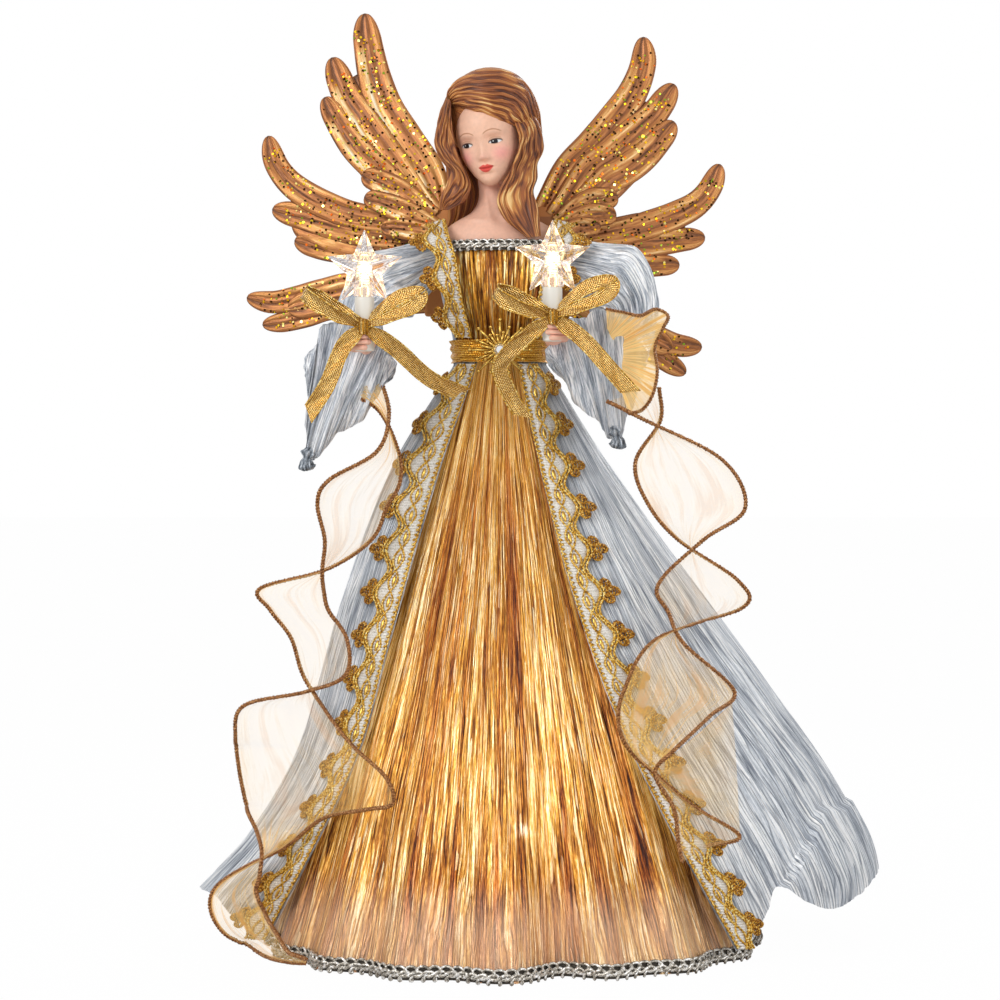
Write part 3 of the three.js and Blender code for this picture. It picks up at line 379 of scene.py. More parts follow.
def spread(name, columns, rows, place, body, material, nodes, closed=False):
    """A piece that is one sheet of cloth; a closed one is turned with its face outwards."""
    bm = bmesh.new()
    lay(bm, columns, rows, place, closed)
    return make(name, bm, body, material, nodes, out=closed)


# %% [markdown]
# Lamé is a thin cloth woven with flat metal thread, and here it is crushed lengthwise. Crushing
# breaks it into long narrow facets with a sharp line between each two, and every facet throws back
# its own share of the light, which is painted into its colour. The facets are cells of a Voronoi
# pattern on the cloth's own UV map, stretched along its length and bent by a noise; finer noises,
# stretched alike, streak them, and all of them drive the bump. Facets and streaks take tones from
# dark painted shade to pale painted highlight, the lines between facets and the hollows of the
# broad folds are darkened as painted shade, and a few small cells are painted as bright dashes, a
# painted highlight where they catch the light. The gold skirt is thin enough for the lamps behind
# it to shine through, and that light is painted on as an emission, which the glow attribute
# carries. Below the lining's hem, where nothing gold lies behind it, the skirt is painted paler.

# %% Crushed lamé
SWAY = (16, 55)  # mm across and along over which the facets bend
SWAY_SIZE = 4.5  # how far they bend, in facets
DASH_LENGTH = 9
LAMPLIGHT = [(0.0, "#e08a28"), (0.35, "#ffc868"), (0.8, "#fff4d8")]


def stretched(tree, uv, size, cell):
    """The UV map of a cloth of that size in mm, counted in cells of the given size."""
    scale = (size[0] / cell[0], size[1] / cell[1], 1)
    return node(tree, "Mapping", None, {"Vector": uv, "Scale": scale}).outputs[0]


def streaks(tree, uv, size, streak, detail, rough=0.6):
    return node(tree, "TexNoise", {"noise_dimensions": "2D"},
                {"Vector": stretched(tree, uv, size, streak), "Scale": 1, "Detail": detail,
                 "Roughness": rough}).outputs["Fac"]


def facets(tree, uv, size, facet, feature):
    sway = calc(tree, "MULTIPLY", streaks(tree, uv, size, SWAY, 2), SWAY_SIZE)
    aside = node(tree, "CombineXYZ", None, {"X": sway}).outputs[0]
    bent = node(tree, "VectorMath", {"operation": "ADD"},
                {0: stretched(tree, uv, size, facet), 1: aside}).outputs[0]
    return node(tree, "TexVoronoi", {"voronoi_dimensions": "2D", "feature": feature},
                {"Vector": bent, "Scale": 1}).outputs


def facet_tone(tree, uv, size, facet):
    cells = facets(tree, uv, size, facet, "F1")
    return node(tree, "SeparateColor", None, {"Color": cells["Color"]}).outputs[0]


def lame(name, stops, size, streak, relief, shine, rough, lit=0.0, bands="#ffffff", low=None,
         facet=None, line="#8a93a0", spark="#ffffff"):
    """size is the cloth's width and length, streak a crease's and facet a facet's, all in mm; bands
    darkens the broad folds as painted shade, line darkens the edges of the facets as painted shade,
    spark colours the dashes as a painted highlight, and low is the paler colour painted on the strip
    below the lining."""
    material, tree, shader = surface(name, Metallic=shine)
    uv = node(tree, "TexCoord").outputs["UV"]
    fine = streaks(tree, uv, size, streak, 3)
    dash = streaks(tree, uv, size, (streak[0] * 0.7, streak[1] / 7), 2)
    broad = streaks(tree, uv, size, (streak[0] * 11, streak[1] * 8), 2)
    crease = mix(tree, 0.24, fine, dash)
    tone = height = mix(tree, 0.2, crease, broad)
    if facet:
        # Each facet's own tone is painted light: the share of light that it throws back.
        tone = mix(tree, 0.11, tone, facet_tone(tree, uv, size, facet))
        gap = facets(tree, uv, size, facet, "DISTANCE_TO_EDGE")["Distance"]
        sharp = remap(tree, gap, 0, 0.16, 0.75, 0)
        height = calc(tree, "MULTIPLY_ADD", sharp, -0.3, tone)
    # The ramp runs from painted shade to painted highlight.
    colour = ramp(tree, tone, stops)
    if facet:
        # The sharp edges between facets are darkened as painted shade.
        colour = tinge(tree, sharp, colour, line, "MULTIPLY")
        # The bright dashes are painted highlights.
        dashes = facet_tone(tree, uv, size, (facet[0] * 0.5, DASH_LENGTH))
        colour = tinge(tree, remap(tree, dashes, 0.95, 0.97, 0, 0.75), colour, spark)
    # The hollows of the broad folds are darkened as painted shade.
    colour = tinge(tree, remap(tree, broad, 0.34, 0.54, 0.7, 0), colour, bands, "MULTIPLY")
    # The strip below the lining is painted paler, where nothing gold lies behind the sheer cloth.
    if low:
        down = node(tree, "SeparateXYZ", None, {"Vector": uv}).outputs["Y"]
        wave = calc(tree, "MULTIPLY_ADD", crease, 0.1, down)
        colour = tinge(tree, remap(tree, wave, 0.9, 0.97, 0, 0.5), colour, low)
    polish = remap(tree, crease, 0.3, 0.7, rough + 0.15, rough - 0.08)
    plug(tree, shader, Base_Color=colour, Roughness=polish)
    emboss(tree, shader, height, 1.0, relief)
    # Lamplight from behind is painted on as an emission, following the glow attribute.
    if lit:
        thin = remap(tree, tone, 0.4, 0.62, 0, 1)
        level = calc(tree, "MULTIPLY", calc(tree, "MULTIPLY", attribute(tree, "glow"), thin), lit)
        plug(tree, shader, Emission_Color=ramp(tree, level, LAMPLIGHT), Emission_Strength=level)
    return material


# The stops run from painted shade to painted highlight.
GOLD_STOPS = [(0.36, "#4a2006"), (0.43, "#9c5a16"), (0.49, "#d28e2a"), (0.545, "#efbc56"),
              (0.61, "#fff1c8")]
BODICE_STOPS = [(0.36, "#421c02"), (0.43, "#925810"), (0.49, "#c6821c"), (0.55, "#eab43c"),
                (0.61, "#fff0b4")]
SILVER_STOPS = [(0.35, "#8f97a2"), (0.44, "#cad0d8"), (0.52, "#edf0f4"), (0.6, "#ffffff")]
# The bunched sleeve tips are painted darker, as painted shade.
TIP_SHADE_STOPS = [(0.38, "#3a4048"), (0.5, "#7b838c"), (0.6, "#c3c9d0")]
LINING_STOPS = [(0.38, "#a8701f"), (0.5, "#d9a040"), (0.62, "#f0c878")]
gold_skirt_cloth = lame("crushed gold lame", GOLD_STOPS, (640, 252), (0.8, 24), 1.0, 0.5, 0.32,
                        lit=0.8, bands="#d4823e", low="#dcb898", facet=(1.8, 65),
                        line="#84490f", spark="#ffeec0")
gold_bodice_cloth = lame("pleated gold lame", BODICE_STOPS, (150, 48), (0.75, 16), 0.8, 0.5, 0.32,
                         bands="#b8783a", facet=(1.5, 30), line="#6e3c0a", spark="#ffeab0")
silver_coat_cloth = lame("crushed silver lame", SILVER_STOPS, (560, 250), (0.6, 20), 0.9, 0.3, 0.38,
                         bands="#dfe2e7", facet=(1.7, 60), line="#5c677a")
silver_sleeve_cloth = lame("crushed silver sleeve lame", SILVER_STOPS, (110, 60), (0.85, 15),
                           0.9, 0.3, 0.38, bands="#d8dce2", facet=(1.9, 26), line="#959eab")
shaded_silver_tip_cloth = lame("bunched silver lame", TIP_SHADE_STOPS, (20, 20), (0.9, 6), 0.6, 0.3, 0.42)
lining_cloth = lame("plain gold lining", LINING_STOPS, (460, 210), (2.0, 8), 0.1, 0.0, 0.8, lit=0.6)

# %% [markdown]
# The trims are made of metal-wrapped thread. Thread that fine sparkles as grains, and the sparkle is
# painted: these materials mix a few tones of the metal, the palest of them a painted highlight, by
# a noise whose grains are about a millimetre, drawn that coarse because the real thread, a tenth
# as thick, is finer than the picture shows.

# %% Thread and cord
def speckle(tree, grain, detail, rough=0.5):
    """A noise in space whose grains have that size in mm."""
    spot = node(tree, "TexCoord").outputs["Object"]
    return node(tree, "TexNoise", None, {"Vector": spot, "Scale": 1 / (grain * MM),
                                         "Detail": detail, "Roughness": rough}).outputs["Fac"]


def thread(name, stops, grain, shine, rough, relief):
    material, tree, shader = surface(name, Metallic=shine, Roughness=rough)
    grains = speckle(tree, grain, 3, 0.7)
    plug(tree, shader, Base_Color=ramp(tree, grains, stops))
    emboss(tree, shader, grains, 0.9, relief)
    return material


GOLD_THREAD = [(0.34, "#4e2e04"), (0.43, "#b0780c"), (0.52, "#e6b024"), (0.62, "#fff4b0")]
FAN_THREAD = [(0.35, "#2e1802"), (0.45, "#8c5406"), (0.55, "#c88c16"), (0.66, "#ffe28a")]
WHITE_THREAD = [(0.32, "#c4bdb0"), (0.48, "#f0ebe2"), (0.64, "#ffffff")]
BRAID_THREAD = [(0.34, "#6a645a"), (0.46, "#a8a196"), (0.54, "#d8d4cb"), (0.62, "#ffffff")]
COPPER_THREAD = [(0.32, "#54300f"), (0.48, "#8e5a2c"), (0.6, "#b98450"), (0.74, "#ecc898")]
gold_thread = thread("gold metal thread", GOLD_THREAD, 0.9, 0.4, 0.28, 0.6)
fan_thread = thread("antique gold thread", FAN_THREAD, 0.8, 0.55, 0.3, 0.5)
white_thread = thread("white rayon thread", WHITE_THREAD, 0.7, 0.0, 0.5, 0.3)
braid_thread = thread("antique silver thread", BRAID_THREAD, 1.4, 0.6, 0.24, 0.3)
copper_thread = thread("copper cord thread", COPPER_THREAD, 0.8, 0.45, 0.38, 0.4)

# %% [markdown]
# Organza is a sheer plain weave of stiff fine thread. The gaps between threads let most of the
# light by, so the sheet is mostly clear, and its gold gathers where it is folded or drawn together.
# The threads are far finer than a pixel, so alpha stands for the weave: the dense attribute says
# how much the strip is drawn together at each place, and a stretched noise adds its soft folds.
# A little of the studio's light comes through from behind, which a faint emission stands for.

# %% Organza
ORGANZA_STOPS = [(0.35, "#e6b45a"), (0.5, "#efc87c"), (0.66, "#d99a3c")]


def sheer_cloth(name, size, streak):
    material, tree, shader = surface(name, Metallic=0.0, Roughness=0.45,
                                     Emission_Color=paint("#ffe2a8"), Emission_Strength=0.22)
    fold = streaks(tree, node(tree, "TexCoord").outputs["UV"], size, streak, 4)
    veil = remap(tree, fold, 0.46, 0.66, 0.85, 1.8)
    alpha = node(tree, "Math", {"operation": "MULTIPLY", "use_clamp": True},
                 {0: attribute(tree, "dense"), 1: veil}).outputs[0]
    plug(tree, shader, Base_Color=ramp(tree, fold, ORGANZA_STOPS), Alpha=alpha)
    return material


organza = sheer_cloth("gold organza", (45, 250), (5, 34))
gathered_organza = sheer_cloth("gathered gold organza", (75, 30), (2.2, 60))

# %% [markdown]
# The bows and the sash are woven metallic ribbon: gold threads cross at right angles about every
# 0.75 mm, which shows as a fine chequer of light. Two band patterns on the ribbon's UV map, one for
# each set of threads, are multiplied into the colour and the bump.

# %% Ribbon
SPACING = 0.75
ONE_BAND = 0.314  # the scale at which a wave texture repeats once in each unit
BOW_STOPS = [(0.28, "#74480a"), (0.37, "#ba8018"), (0.45, "#e2aa34"), (0.55, "#fff2b8")]
SASH_STOPS = [(0.24, "#824a00"), (0.35, "#bc7a00"), (0.46, "#dc980c"), (0.58, "#ffdc78")]


def woven(name, stops, size):
    material, tree, shader = surface(name, Metallic=0.8, Roughness=0.27)
    uv = node(tree, "TexCoord").outputs["UV"]
    flat = stretched(tree, uv, size, (SPACING, SPACING))
    warp, weft = [node(tree, "TexWave", {"bands_direction": way},
                       {"Vector": flat, "Scale": ONE_BAND, "Distortion": 0.6}).outputs["Fac"]
                  for way in "XY"]
    sheen, glint = [node(tree, "TexNoise", None,
                         {"Vector": flat, "Scale": scale, "Detail": detail}).outputs["Fac"]
                    for scale, detail in ((0.09, 3), (0.85, 1))]
    cloth = mix(tree, 0.35, calc(tree, "MULTIPLY", warp, weft), sheen)
    tone = mix(tree, 0.4, cloth, glint)
    plug(tree, shader, Base_Color=ramp(tree, tone, stops))
    emboss(tree, shader, tone, 0.9, 0.35)
    return material


bow_ribbon = woven("woven gold ribbon", BOW_STOPS, (7, 60))
sash_ribbon = woven("woven gold sash", SASH_STOPS, (120, 9.5))

# %% [markdown]
# Head, hands and wings are cast resin, painted by hand. The skin takes its colours from the tint
# attribute, which is worked out when those pieces are made. Hair and wings are brushed with a
# lighter paint over everything that stands proud: the ridge attribute says how proud each place
# is, and it also carries painted highlights, and on the wings painted shade at tips and rims.

# %% Painted resin
HAIR_STOPS = [(0.24, "#481e0c"), (0.38, "#7e4320"), (0.52, "#a6612f"), (0.65, "#d08c46"),
              (0.77, "#f6ce8c")]
WING_STOPS = [(0.27, "#422818"), (0.37, "#84502c"), (0.46, "#b2703a"), (0.55, "#cc9250"),
              (0.64, "#f0ca90"), (0.73, "#fff3d8")]


def painted(name, rough, grain, relief):
    material, tree, shader = surface(name, Roughness=rough, Specular_IOR_Level=0.35)
    speck = speckle(tree, grain, 4)
    mixed = node(tree, "VectorMath", {"operation": "SCALE"},
                 {0: attribute(tree, "tint", "Color"),
                  "Scale": remap(tree, speck, 0.3, 0.7, 0.94, 1.04)}).outputs[0]
    plug(tree, shader, Base_Color=mixed)
    emboss(tree, shader, speck, 0.5, relief)
    return material


def brushed(name, strokes, detail, rough, share, stops, strength, **constants):
    """Paint in brush strokes, so many across and along the UV map, with a share by the ridges."""
    material, tree, shader = surface(name, **constants)
    uv = node(tree, "TexCoord").outputs["UV"]
    stroke_and_highlight = streaks(tree, uv, strokes, (1, 1), detail, rough)
    tone = mix(tree, share, stroke_and_highlight, attribute(tree, "ridge"))
    plug(tree, shader, Base_Color=ramp(tree, tone, stops))
    emboss(tree, shader, stroke_and_highlight, strength, 0.35)
    return material


skin_paint = painted("painted resin skin", 0.45, 1.5, 0.02)
hair_paint = brushed("painted resin hair", (60, 2.2), 4, 0.6, 0.45, HAIR_STOPS, 0.9,
                     Roughness=0.48, Coat_Weight=0.06, Coat_Roughness=0.35)
wing_paint = brushed("copper and gold wing paint", (22, 4), 6, 0.65, 0.5, WING_STOPS, 0.55,
                     Metallic=0.42, Roughness=0.4)
glitter, glitter_tree, glitter_shader = surface("hexagon glitter", Metallic=0.9, Roughness=0.18)
plug(glitter_tree, glitter_shader, Base_Color=attribute(glitter_tree, "tint", "Color"))

# %% [markdown]
# What is left is plain: clear acrylic for the star covers, lit glass for the lamps, gold-plated
# wire and a foiled glass stone for the brooch, and moulded plastic, card, sheath and plated steel
# for what holds it all up. Each still has the slight unevenness that such a surface shows.

# %% Plain stock
def stock(name, code, rough, grain, relief, **constants):
    material, tree, shader = surface(name, **constants)
    cloud = speckle(tree, grain, 4)
    dull = (*[c * 0.84 for c in paint(code)[:3]], 1)
    polish = remap(tree, cloud, 0, 1, max(0.01, rough - 0.06), rough + 0.06)
    plug(tree, shader, Base_Color=tinge(tree, cloud, dull, code), Roughness=polish)
    emboss(tree, shader, cloud, 0.5, relief)
    return material


def glowing(code, strength):
    return {"Emission_Color": paint(code), "Emission_Strength": strength}


# The clear acrylic's faint emission is painted light: the glow of the lamp inside the star.
clear_acrylic = stock("clear acrylic", "#fdf8f5", 0.03, 20, 0.01, Transmission_Weight=1.0, IOR=1.49,
                      **glowing("#ffdccc", 0.05))
bulb_glass = stock("clear bulb glass", "#fff6e6", 0.04, 12, 0.0, Transmission_Weight=1.0, IOR=1.3,
                   **glowing("#ffe6c0", 0.08))
lamp_glass = stock("lit lamp glass", "#ffe9bc", 0.2, 6, 0.01, **glowing("#ffd690", 2.2))
filament = stock("glowing filament", "#fff0d0", 0.5, 4, 0.0, **glowing("#ffe2b0", 3.0))
plated_wire = stock("gold plated wire", "#d9b25c", 0.24, 3, 0.02, Metallic=1.0)
foiled_glass = stock("foiled glass stone", "#f2f4f8", 0.08, 4, 0.0, Metallic=0.8)
sleeve_plastic = stock("white moulded plastic", "#f4f1e8", 0.42, 8, 0.02)
cone_card = stock("grey-white cone card", "#e4dccb", 0.82, 5, 0.06)
# The dark sheet behind the braid is painted shade for the braid's gaps.
braid_gap_shade = stock("dark braid gap shade", "#4a443b", 0.7, 2, 0.02)
bracket_paint = stock("copper painted bracket", "#a5683a", 0.45, 6, 0.02)
wire_sheath = stock("ivory vinyl sheath", "#e3dcc6", 0.5, 4, 0.02)
screw_steel = stock("zinc plated steel", "#a7abb0", 0.32, 2, 0.02, Metallic=1.0)
print("finishes:", len(bpy.data.materials))

# %% [markdown]
# The skirts hang from a small oval waist and flare to the hem. The gold skirt is close to a cone
# with soft folds and one deep tuck in front; the silver coat stands away from it, most on the
# right, where it sweeps out. Both are described by their distance from the figure's axis for each
# angle and height, so that the trims can be laid on the same surface.

# %% Skirt shapes
WAIST = (17.15, 13.95)
WAIST_Z = 252.0
FLARE_Z = 248.0
HEM_RADIUS, HEM_SWAY = 101.0, 5.5
FOLD_COUNT, FOLD_DEPTH = 16, 3.2
COAT_SPREAD = [(0, 0), (0.06, 16), (0.12, 34), (0.2, 54), (0.32, 40), (0.5, 12),
               (0.68, 18), (0.82, 34), (0.9, 34), (0.95, 20), (1, 0)]
COAT_RISE_RIGHT = [(0, 0), (0.15, 0.16), (0.27, 0.33), (0.44, 0.6), (0.58, 0.84), (0.72, 1.07),
                   (0.88, 1.18), (1, 0.86)]
COAT_RISE_LEFT = [(0, 0), (0.18, 0.32), (0.41, 0.38), (0.66, 0.3), (0.81, 0.55), (0.92, 1),
                  (1, 1.05)]
COAT_EDGE_RIGHT = [(0, 26), (0.18, 29), (0.38, 33), (0.57, 39), (0.76, 48), (1, 61)]
COAT_EDGE_LEFT = [(0, 34), (0.17, 47), (0.47, 50), (0.64, 50), (0.82, 60), (1, 74)]
COAT_FOLDS, COAT_FOLD_DEPTH = 13, 5
CLOTH = 1.0  # thickness of the solids' cloth
TUCK_AT, TUCK_WIDE, TUCK_DEEP = math.radians(17), math.radians(7), 14
LAMP_RINGS = [(5, 58, 6, 52), (3, 104, 42, 49)]  # how many, height, first angle, reach of the tips
HOT_SPOT, HOT_LAMPS = 2.6, 5  # width of a lamp's bright spot, and how many of the lamps show one


def flare(z):
    return max(0.0, (FLARE_Z - z) / FLARE_Z)


def oval(angle):
    return 1 / math.hypot(math.sin(angle) / WAIST[0], math.cos(angle) / WAIST[1])


def skirt_cone(angle, z):
    return lerp(oval(angle), HEM_RADIUS + HEM_SWAY * math.sin(angle), flare(z))


def skirt_radius(angle, z):
    t = flare(z)
    off_tuck = (angle - TUCK_AT + math.pi) % FULL - math.pi
    tuck = TUCK_DEEP * t ** 3 * hump(off_tuck, 0, TUCK_WIDE)
    return skirt_cone(angle, z) + FOLD_DEPTH * t ** 1.3 * math.cos(FOLD_COUNT * angle) - tuck


def coat_edges(z):
    share = min(1, flare(z))
    right, left = [math.radians(curve(edge, share)) for edge in (COAT_EDGE_RIGHT, COAT_EDGE_LEFT)]
    return right, FULL - left


def coat_radius(angle, z, across):
    t = flare(z)
    off = lerp(0.7, 3.45, math.sqrt(t))
    rise = lerp(curve(COAT_RISE_RIGHT, t), curve(COAT_RISE_LEFT, t), step(0.35, 0.65, across))
    fold = COAT_FOLD_DEPTH * t * t * (1 + math.cos(COAT_FOLDS * angle))
    middle = step(0.12, 0.3, across) * step(0.12, 0.3, 1 - across)
    return (skirt_cone(angle, z) + FOLD_DEPTH * t ** 1.3 + CLOTH + off
            + curve(COAT_SPREAD, across) * rise + fold * middle)


lamp_tips = [
    polar(math.radians(turn + 360 * i / count), reach, height)
    for count, height, turn, reach in LAMP_RINGS for i in range(count)
]


def light_up(piece, reach, gain, hot, thrown_up=0.0):
    """Stores how much lamplight reaches each corner of a cloth from behind: a wide glow, a hot spot
    where a lamp is nearest, and what is thrown up to the narrow top."""
    glow = piece.data.attributes.new("glow", "FLOAT", "POINT")
    spots = []
    for tip in lamp_tips[:HOT_LAMPS]:
        angle = math.atan2(tip.x, -tip.y)
        spots.append(polar(angle, skirt_radius(angle, tip.z), tip.z))
    values = []
    for corner in piece.data.vertices:
        place = corner.co / MM
        wide = sum(gain * hump((place - tip).length, 0, reach) for tip in lamp_tips)
        near = sum(hot * hump((place - spot).length, 0, HOT_SPOT) for spot in spots)
        values.append(wide + near + thrown_up * step(140, 215, place.z))
    glow.data.foreach_set("value", values)


# %% [markdown]
# The gold skirt is cut as a wide rectangle, gathered at the waist and crushed lengthwise. Besides
# the broad folds of its solid it has a few hundred small pleats, which wander and merge, so their
# depth comes from a noise that changes fast round the skirt and slowly down it.

# %% Gold skirt
def gold_skirt(u, v):
    angle = FULL * (u - 0.5)
    z = lerp(WAIST_Z, 0.8, v)
    t = flare(z)
    around = Vector((math.cos(angle), math.sin(angle), 0))
    wander = 0.04 * noise.noise(Vector((around.x * 3, around.y * 3, z / 60)))
    pleat = noise.noise((around * 24 * (1 + wander)).to_3d() + Vector((0, 0, z / 55)))
    crease = noise.noise(around * 60 + Vector((0, 0, z / 30)))
    depth = lerp(0.35, 1.7, t)
    return polar(angle, skirt_radius(angle, z) + 0.5 + depth * pleat + 0.45 * depth * crease, z)


skirt = spread("gold_skirt", 800, 112, gold_skirt, "gown", gold_skirt_cloth,
               ["underskirt"], closed=True)
light_up(skirt, 42, 0.7, 4.0, thrown_up=0.5)

# %% [markdown]
# Under it hangs a plain lining, a shallow cone from the top of the card cone to about 30 mm
# above the floor. It glows faintly with painted lamplight, and below its hem the gold skirt is
# painted paler.

# %% Lining
def lining_place(u, v):
    angle = FULL * u
    z = lerp(232, 32, v)
    wave = 1.6 * v * v * math.cos(11 * angle) + 0.5 * v * math.cos(29 * angle)
    return polar(angle, lerp(14.1, 74.4, v) + wave, z)


lining = spread("gold_lining", 240, 40, lining_place, "gown", lining_cloth,
                ["lining"], closed=True)
# The lining takes painted lamplight too, as an emission.
light_up(lining, 45, 0.9, 0)

# %% [markdown]
# The silver coat opens in front and trails behind. It is the same crushed cloth, so it has the
# same wandering pleats, deeper towards the hem. On the right its hem is notched, and from the notch
# outwards the corner is turned back over the cloth, so that it stands a little proud.

# %% Silver coat skirt
NOTCH, NOTCH_TOP = 0.062, 30  # where the hem is notched, as a share of its width, and how high
COAT_HEM = [(0, 6), (0.02, 9), (0.045, 20), (NOTCH, NOTCH_TOP), (0.075, 24), (0.1, 19), (0.13, 21),
            (0.17, 27), (0.22, 26), (0.32, 12), (0.45, 7), (0.7, 6), (0.8, 13), (0.86, 22),
            (0.925, 24), (0.965, 14), (1, 6)]


def coat_hem(u):
    return curve(COAT_HEM, u) + 0.8 * math.sin(40 * u)


def turned_back(u, z):
    line = lerp(NOTCH_TOP, 60, min(1, (u - NOTCH) / 0.07)) + 2 * ripple(u * 60, 0, 2.0)
    return step(0.06, 0.066, u) * step(0.3, 0.2, u) * step(0, 2.2, line - z)


def coat_place(u, v):
    z = lerp(251, coat_hem(u), v)
    right, left = coat_edges(z)
    angle = lerp(right, left, u)
    t = flare(z)
    wander = 0.5 * ripple(u * 14, z / 80, 3.0)
    pleat = ripple(u * 95 + wander, z / 60, 5.0)
    crease = ripple(u * 240 + wander, z / 30, 9.0)
    calm = 0.35 + 0.65 * step(0.05, 0.1, min(u, 1 - u))
    depth = lerp(0.3, 1.0, t) * calm
    proud = 2.4 * turned_back(u, z)
    radius = coat_radius(angle, z, u) + 0.5 + proud + depth * pleat + 0.95 * depth * crease
    return polar(angle, radius, z)


coat = spread("silver_coat_skirt", 680, 130, coat_place, "gown", silver_coat_cloth,
              ["coat_skirt"])

# %% [markdown]
# Gold and white lace edges the coat and, above the sash, the lapels. From the inner edge outwards
# it has a looped gold edge, a ground of fine white ribs, two gold wires that cross and part so that
# they ring a bright bar in every oval, a double rope that swings in and out, and a fan of three
# knotted lobes at every outward swing. All of it is laid on place(s, w, h): s runs along the lace,
# w across it and h stands off the cloth, so one builder serves the skirt's long edges and the
# short lapels.

# %% Lace builder
FAN_PITCH = 18.8
OVALS, OVAL_HALF = 3.7, 1.75  # how far from the inner edge the wires cross, and how far they part
RIB_PITCH, PICOT_PITCH, PICOT_HALF = 1.25, 2.1, 0.65
LOBES = [(0, 13.7, 2.0, 2.4), (-3.3, 11.6, 2.0, 1.8), (3.3, 11.6, 2.0, 1.8)]  # place and half sizes
RIB_RISE = [(0, 0.2), (0.3, 0.4), (0.7, 0.4), (1, 0.2)]


def lace_line(place, length, across, height, spacing=0.8):
    count = round(length / spacing)
    return [place(length * i / count, across(length * i / count), height) for i in range(count + 1)]


def rope_across(s):
    return 7.3 + 1.9 * math.cos(FULL * (s / FAN_PITCH - 0.5))


def white_lace(place, length):
    """A ground of fine ribs, from the inner edge to the rope."""
    bm = bmesh.new()
    lay(bm, 4, round(length / 1.5),
        lambda u, v: place(v * length, lerp(0.3, rope_across(v * length), u), 0.3))
    for k in range(round(length / RIB_PITCH)):
        s = (k + 0.5) * RIB_PITCH
        reach = rope_across(s) - 1.2
        roll(bm, [place(s, 0.7 + reach * share, h) for share, h in RIB_RISE], 0.52, 6)
    return bm


def gold_lace(place, length):
    """A picot edge, two wires that ring the ovals, and a double rope."""
    bm = bmesh.new()
    loops = []
    for i in range(round(length / PICOT_PITCH) * 9 + 1):
        turn = FULL * i / 9
        loops.append(place(i * PICOT_PITCH / 9 + PICOT_HALF * math.sin(turn),
                           0.1 - PICOT_HALF * math.cos(turn), 0.45 + 0.2 * math.sin(turn)))
    roll(bm, loops, 0.48, 5)
    for sign, height in ((1, 0.95), (-1, 1.25)):
        part = lambda s, sign=sign: OVALS + sign * OVAL_HALF * math.sin(FULL * s / FAN_PITCH)
        twist(bm, lace_line(place, length, part, height), 0.6, 2.1)
    twist(bm, lace_line(place, length, rope_across, 0.9), 0.76, 2.5)
    twist(bm, lace_line(place, length, lambda s: rope_across(s) + 1.35, 0.75), 0.7, 2.4)
    return bm


def lace_bars(place, length):
    """The bright bar in each oval, laid along the lace."""
    bm = bmesh.new()
    for k in range(round(2 * length / FAN_PITCH) - 1):
        s = (k + 0.5) * FAN_PITCH / 2
        way = place(s + 1, OVALS, 0.7) - place(s - 1, OVALS, 0.7)
        pebble(bm, place(s, OVALS, 0.7), (0.95, 0.7, 2.7), way.to_track_quat("Z", "Y").to_matrix())
    return bm


def lace_fans(place, length):
    """At every outward swing of the rope a fan of three lobes, each a coil of thread over knots."""
    bm = bmesh.new()
    shift = random.Random(7)
    for k in range(round(length / FAN_PITCH)):
        middle = (k + 0.5) * FAN_PITCH
        for along, out, long, wide in LOBES:
            for i in range(-3, 4):
                for j in range(-3, 4):
                    s, w = i + (0.5 if j % 2 else 0), j * 0.95
                    off = (s / long) ** 2 + (w / wide) ** 2
                    if off < 1.15:
                        size = 0.52 + 0.18 * shift.random()
                        spot = place(middle + along + s, out + w, 0.25 + (1 - off / 1.6))
                        pebble(bm, spot, (size, size, size), finest=1)
            coil = []
            for i in range(33):
                turn = FULL * i / 32 * 2
                ease = 1.12 - 0.35 * i / 32
                coil.append(place(middle + along + long * ease * math.sin(turn),
                                  out + wide * ease * math.cos(turn), 0.8 + 0.5 * i / 32))
            roll(bm, coil, 0.34, 5)
    return bm


def sew_lace(name, place, length, node_name):
    make(f"{name}_white", white_lace(place, length), "gown", white_thread)
    make(f"{name}_gold", gold_lace(place, length), "gown", gold_thread, [node_name])
    make(f"{name}_bars", lace_bars(place, length), "gown", plated_wire)
    make(f"{name}_fans", lace_fans(place, length), "gown", fan_thread)


# %% [markdown]
# Down the skirt the lace lies along the coat's two edges. A table of the length run at each height
# turns the distance along the lace into a height, and the distance across it turns into an angle.

# %% Lace on the skirt
def coat_spot(side, z, w, h):
    right, left = coat_edges(z)
    slant = lerp(1, 0.85, min(1, flare(z)))
    if side == "right":
        angle = right + w * slant / coat_radius(right, z, 0)
    else:
        angle = left - w * slant / coat_radius(left, z, 1)
    across = (angle - right) / (left - right)
    return polar(angle, coat_radius(angle, z, across) + 2.0 + h, z)


for side in ("left", "right"):
    heights = [lerp(247.6, 6.8, i / 160) for i in range(161)]
    run = paces([coat_spot(side, z, 8, 0) for z in heights])
    fall = list(zip(run, heights))
    spot = lambda s, w, h, side=side, fall=fall: coat_spot(side, curve(fall, s), w, h)
    sew_lace(f"skirt_lace_{side}", spot, run[-1], f"skirt_trim_{side}")
    print("lace on the", side, round(run[-1]), "mm long")

# %% [markdown]
# The lapels start under the sash and widen over the chest to the shoulders. Each is a strip between
# two edges, and standing off means along the strip's own facing.

# %% Lapels
LAPEL_FOOT, LAPEL_LONG, LACE_WIDE = 236.35, 62.0, 15.6
LAPEL_INNER = [(12.5, -15.6, 22.1), (17, -22.5, 40), (19.5, -21.5, 56), (22.5, -16, 66),
               (24, -5, 73)]
LAPEL_OUTER = [(26, -12, 23), (31, -18.5, 40), (36, -18.5, 56), (38, -13.5, 64), (37, -4, 69)]

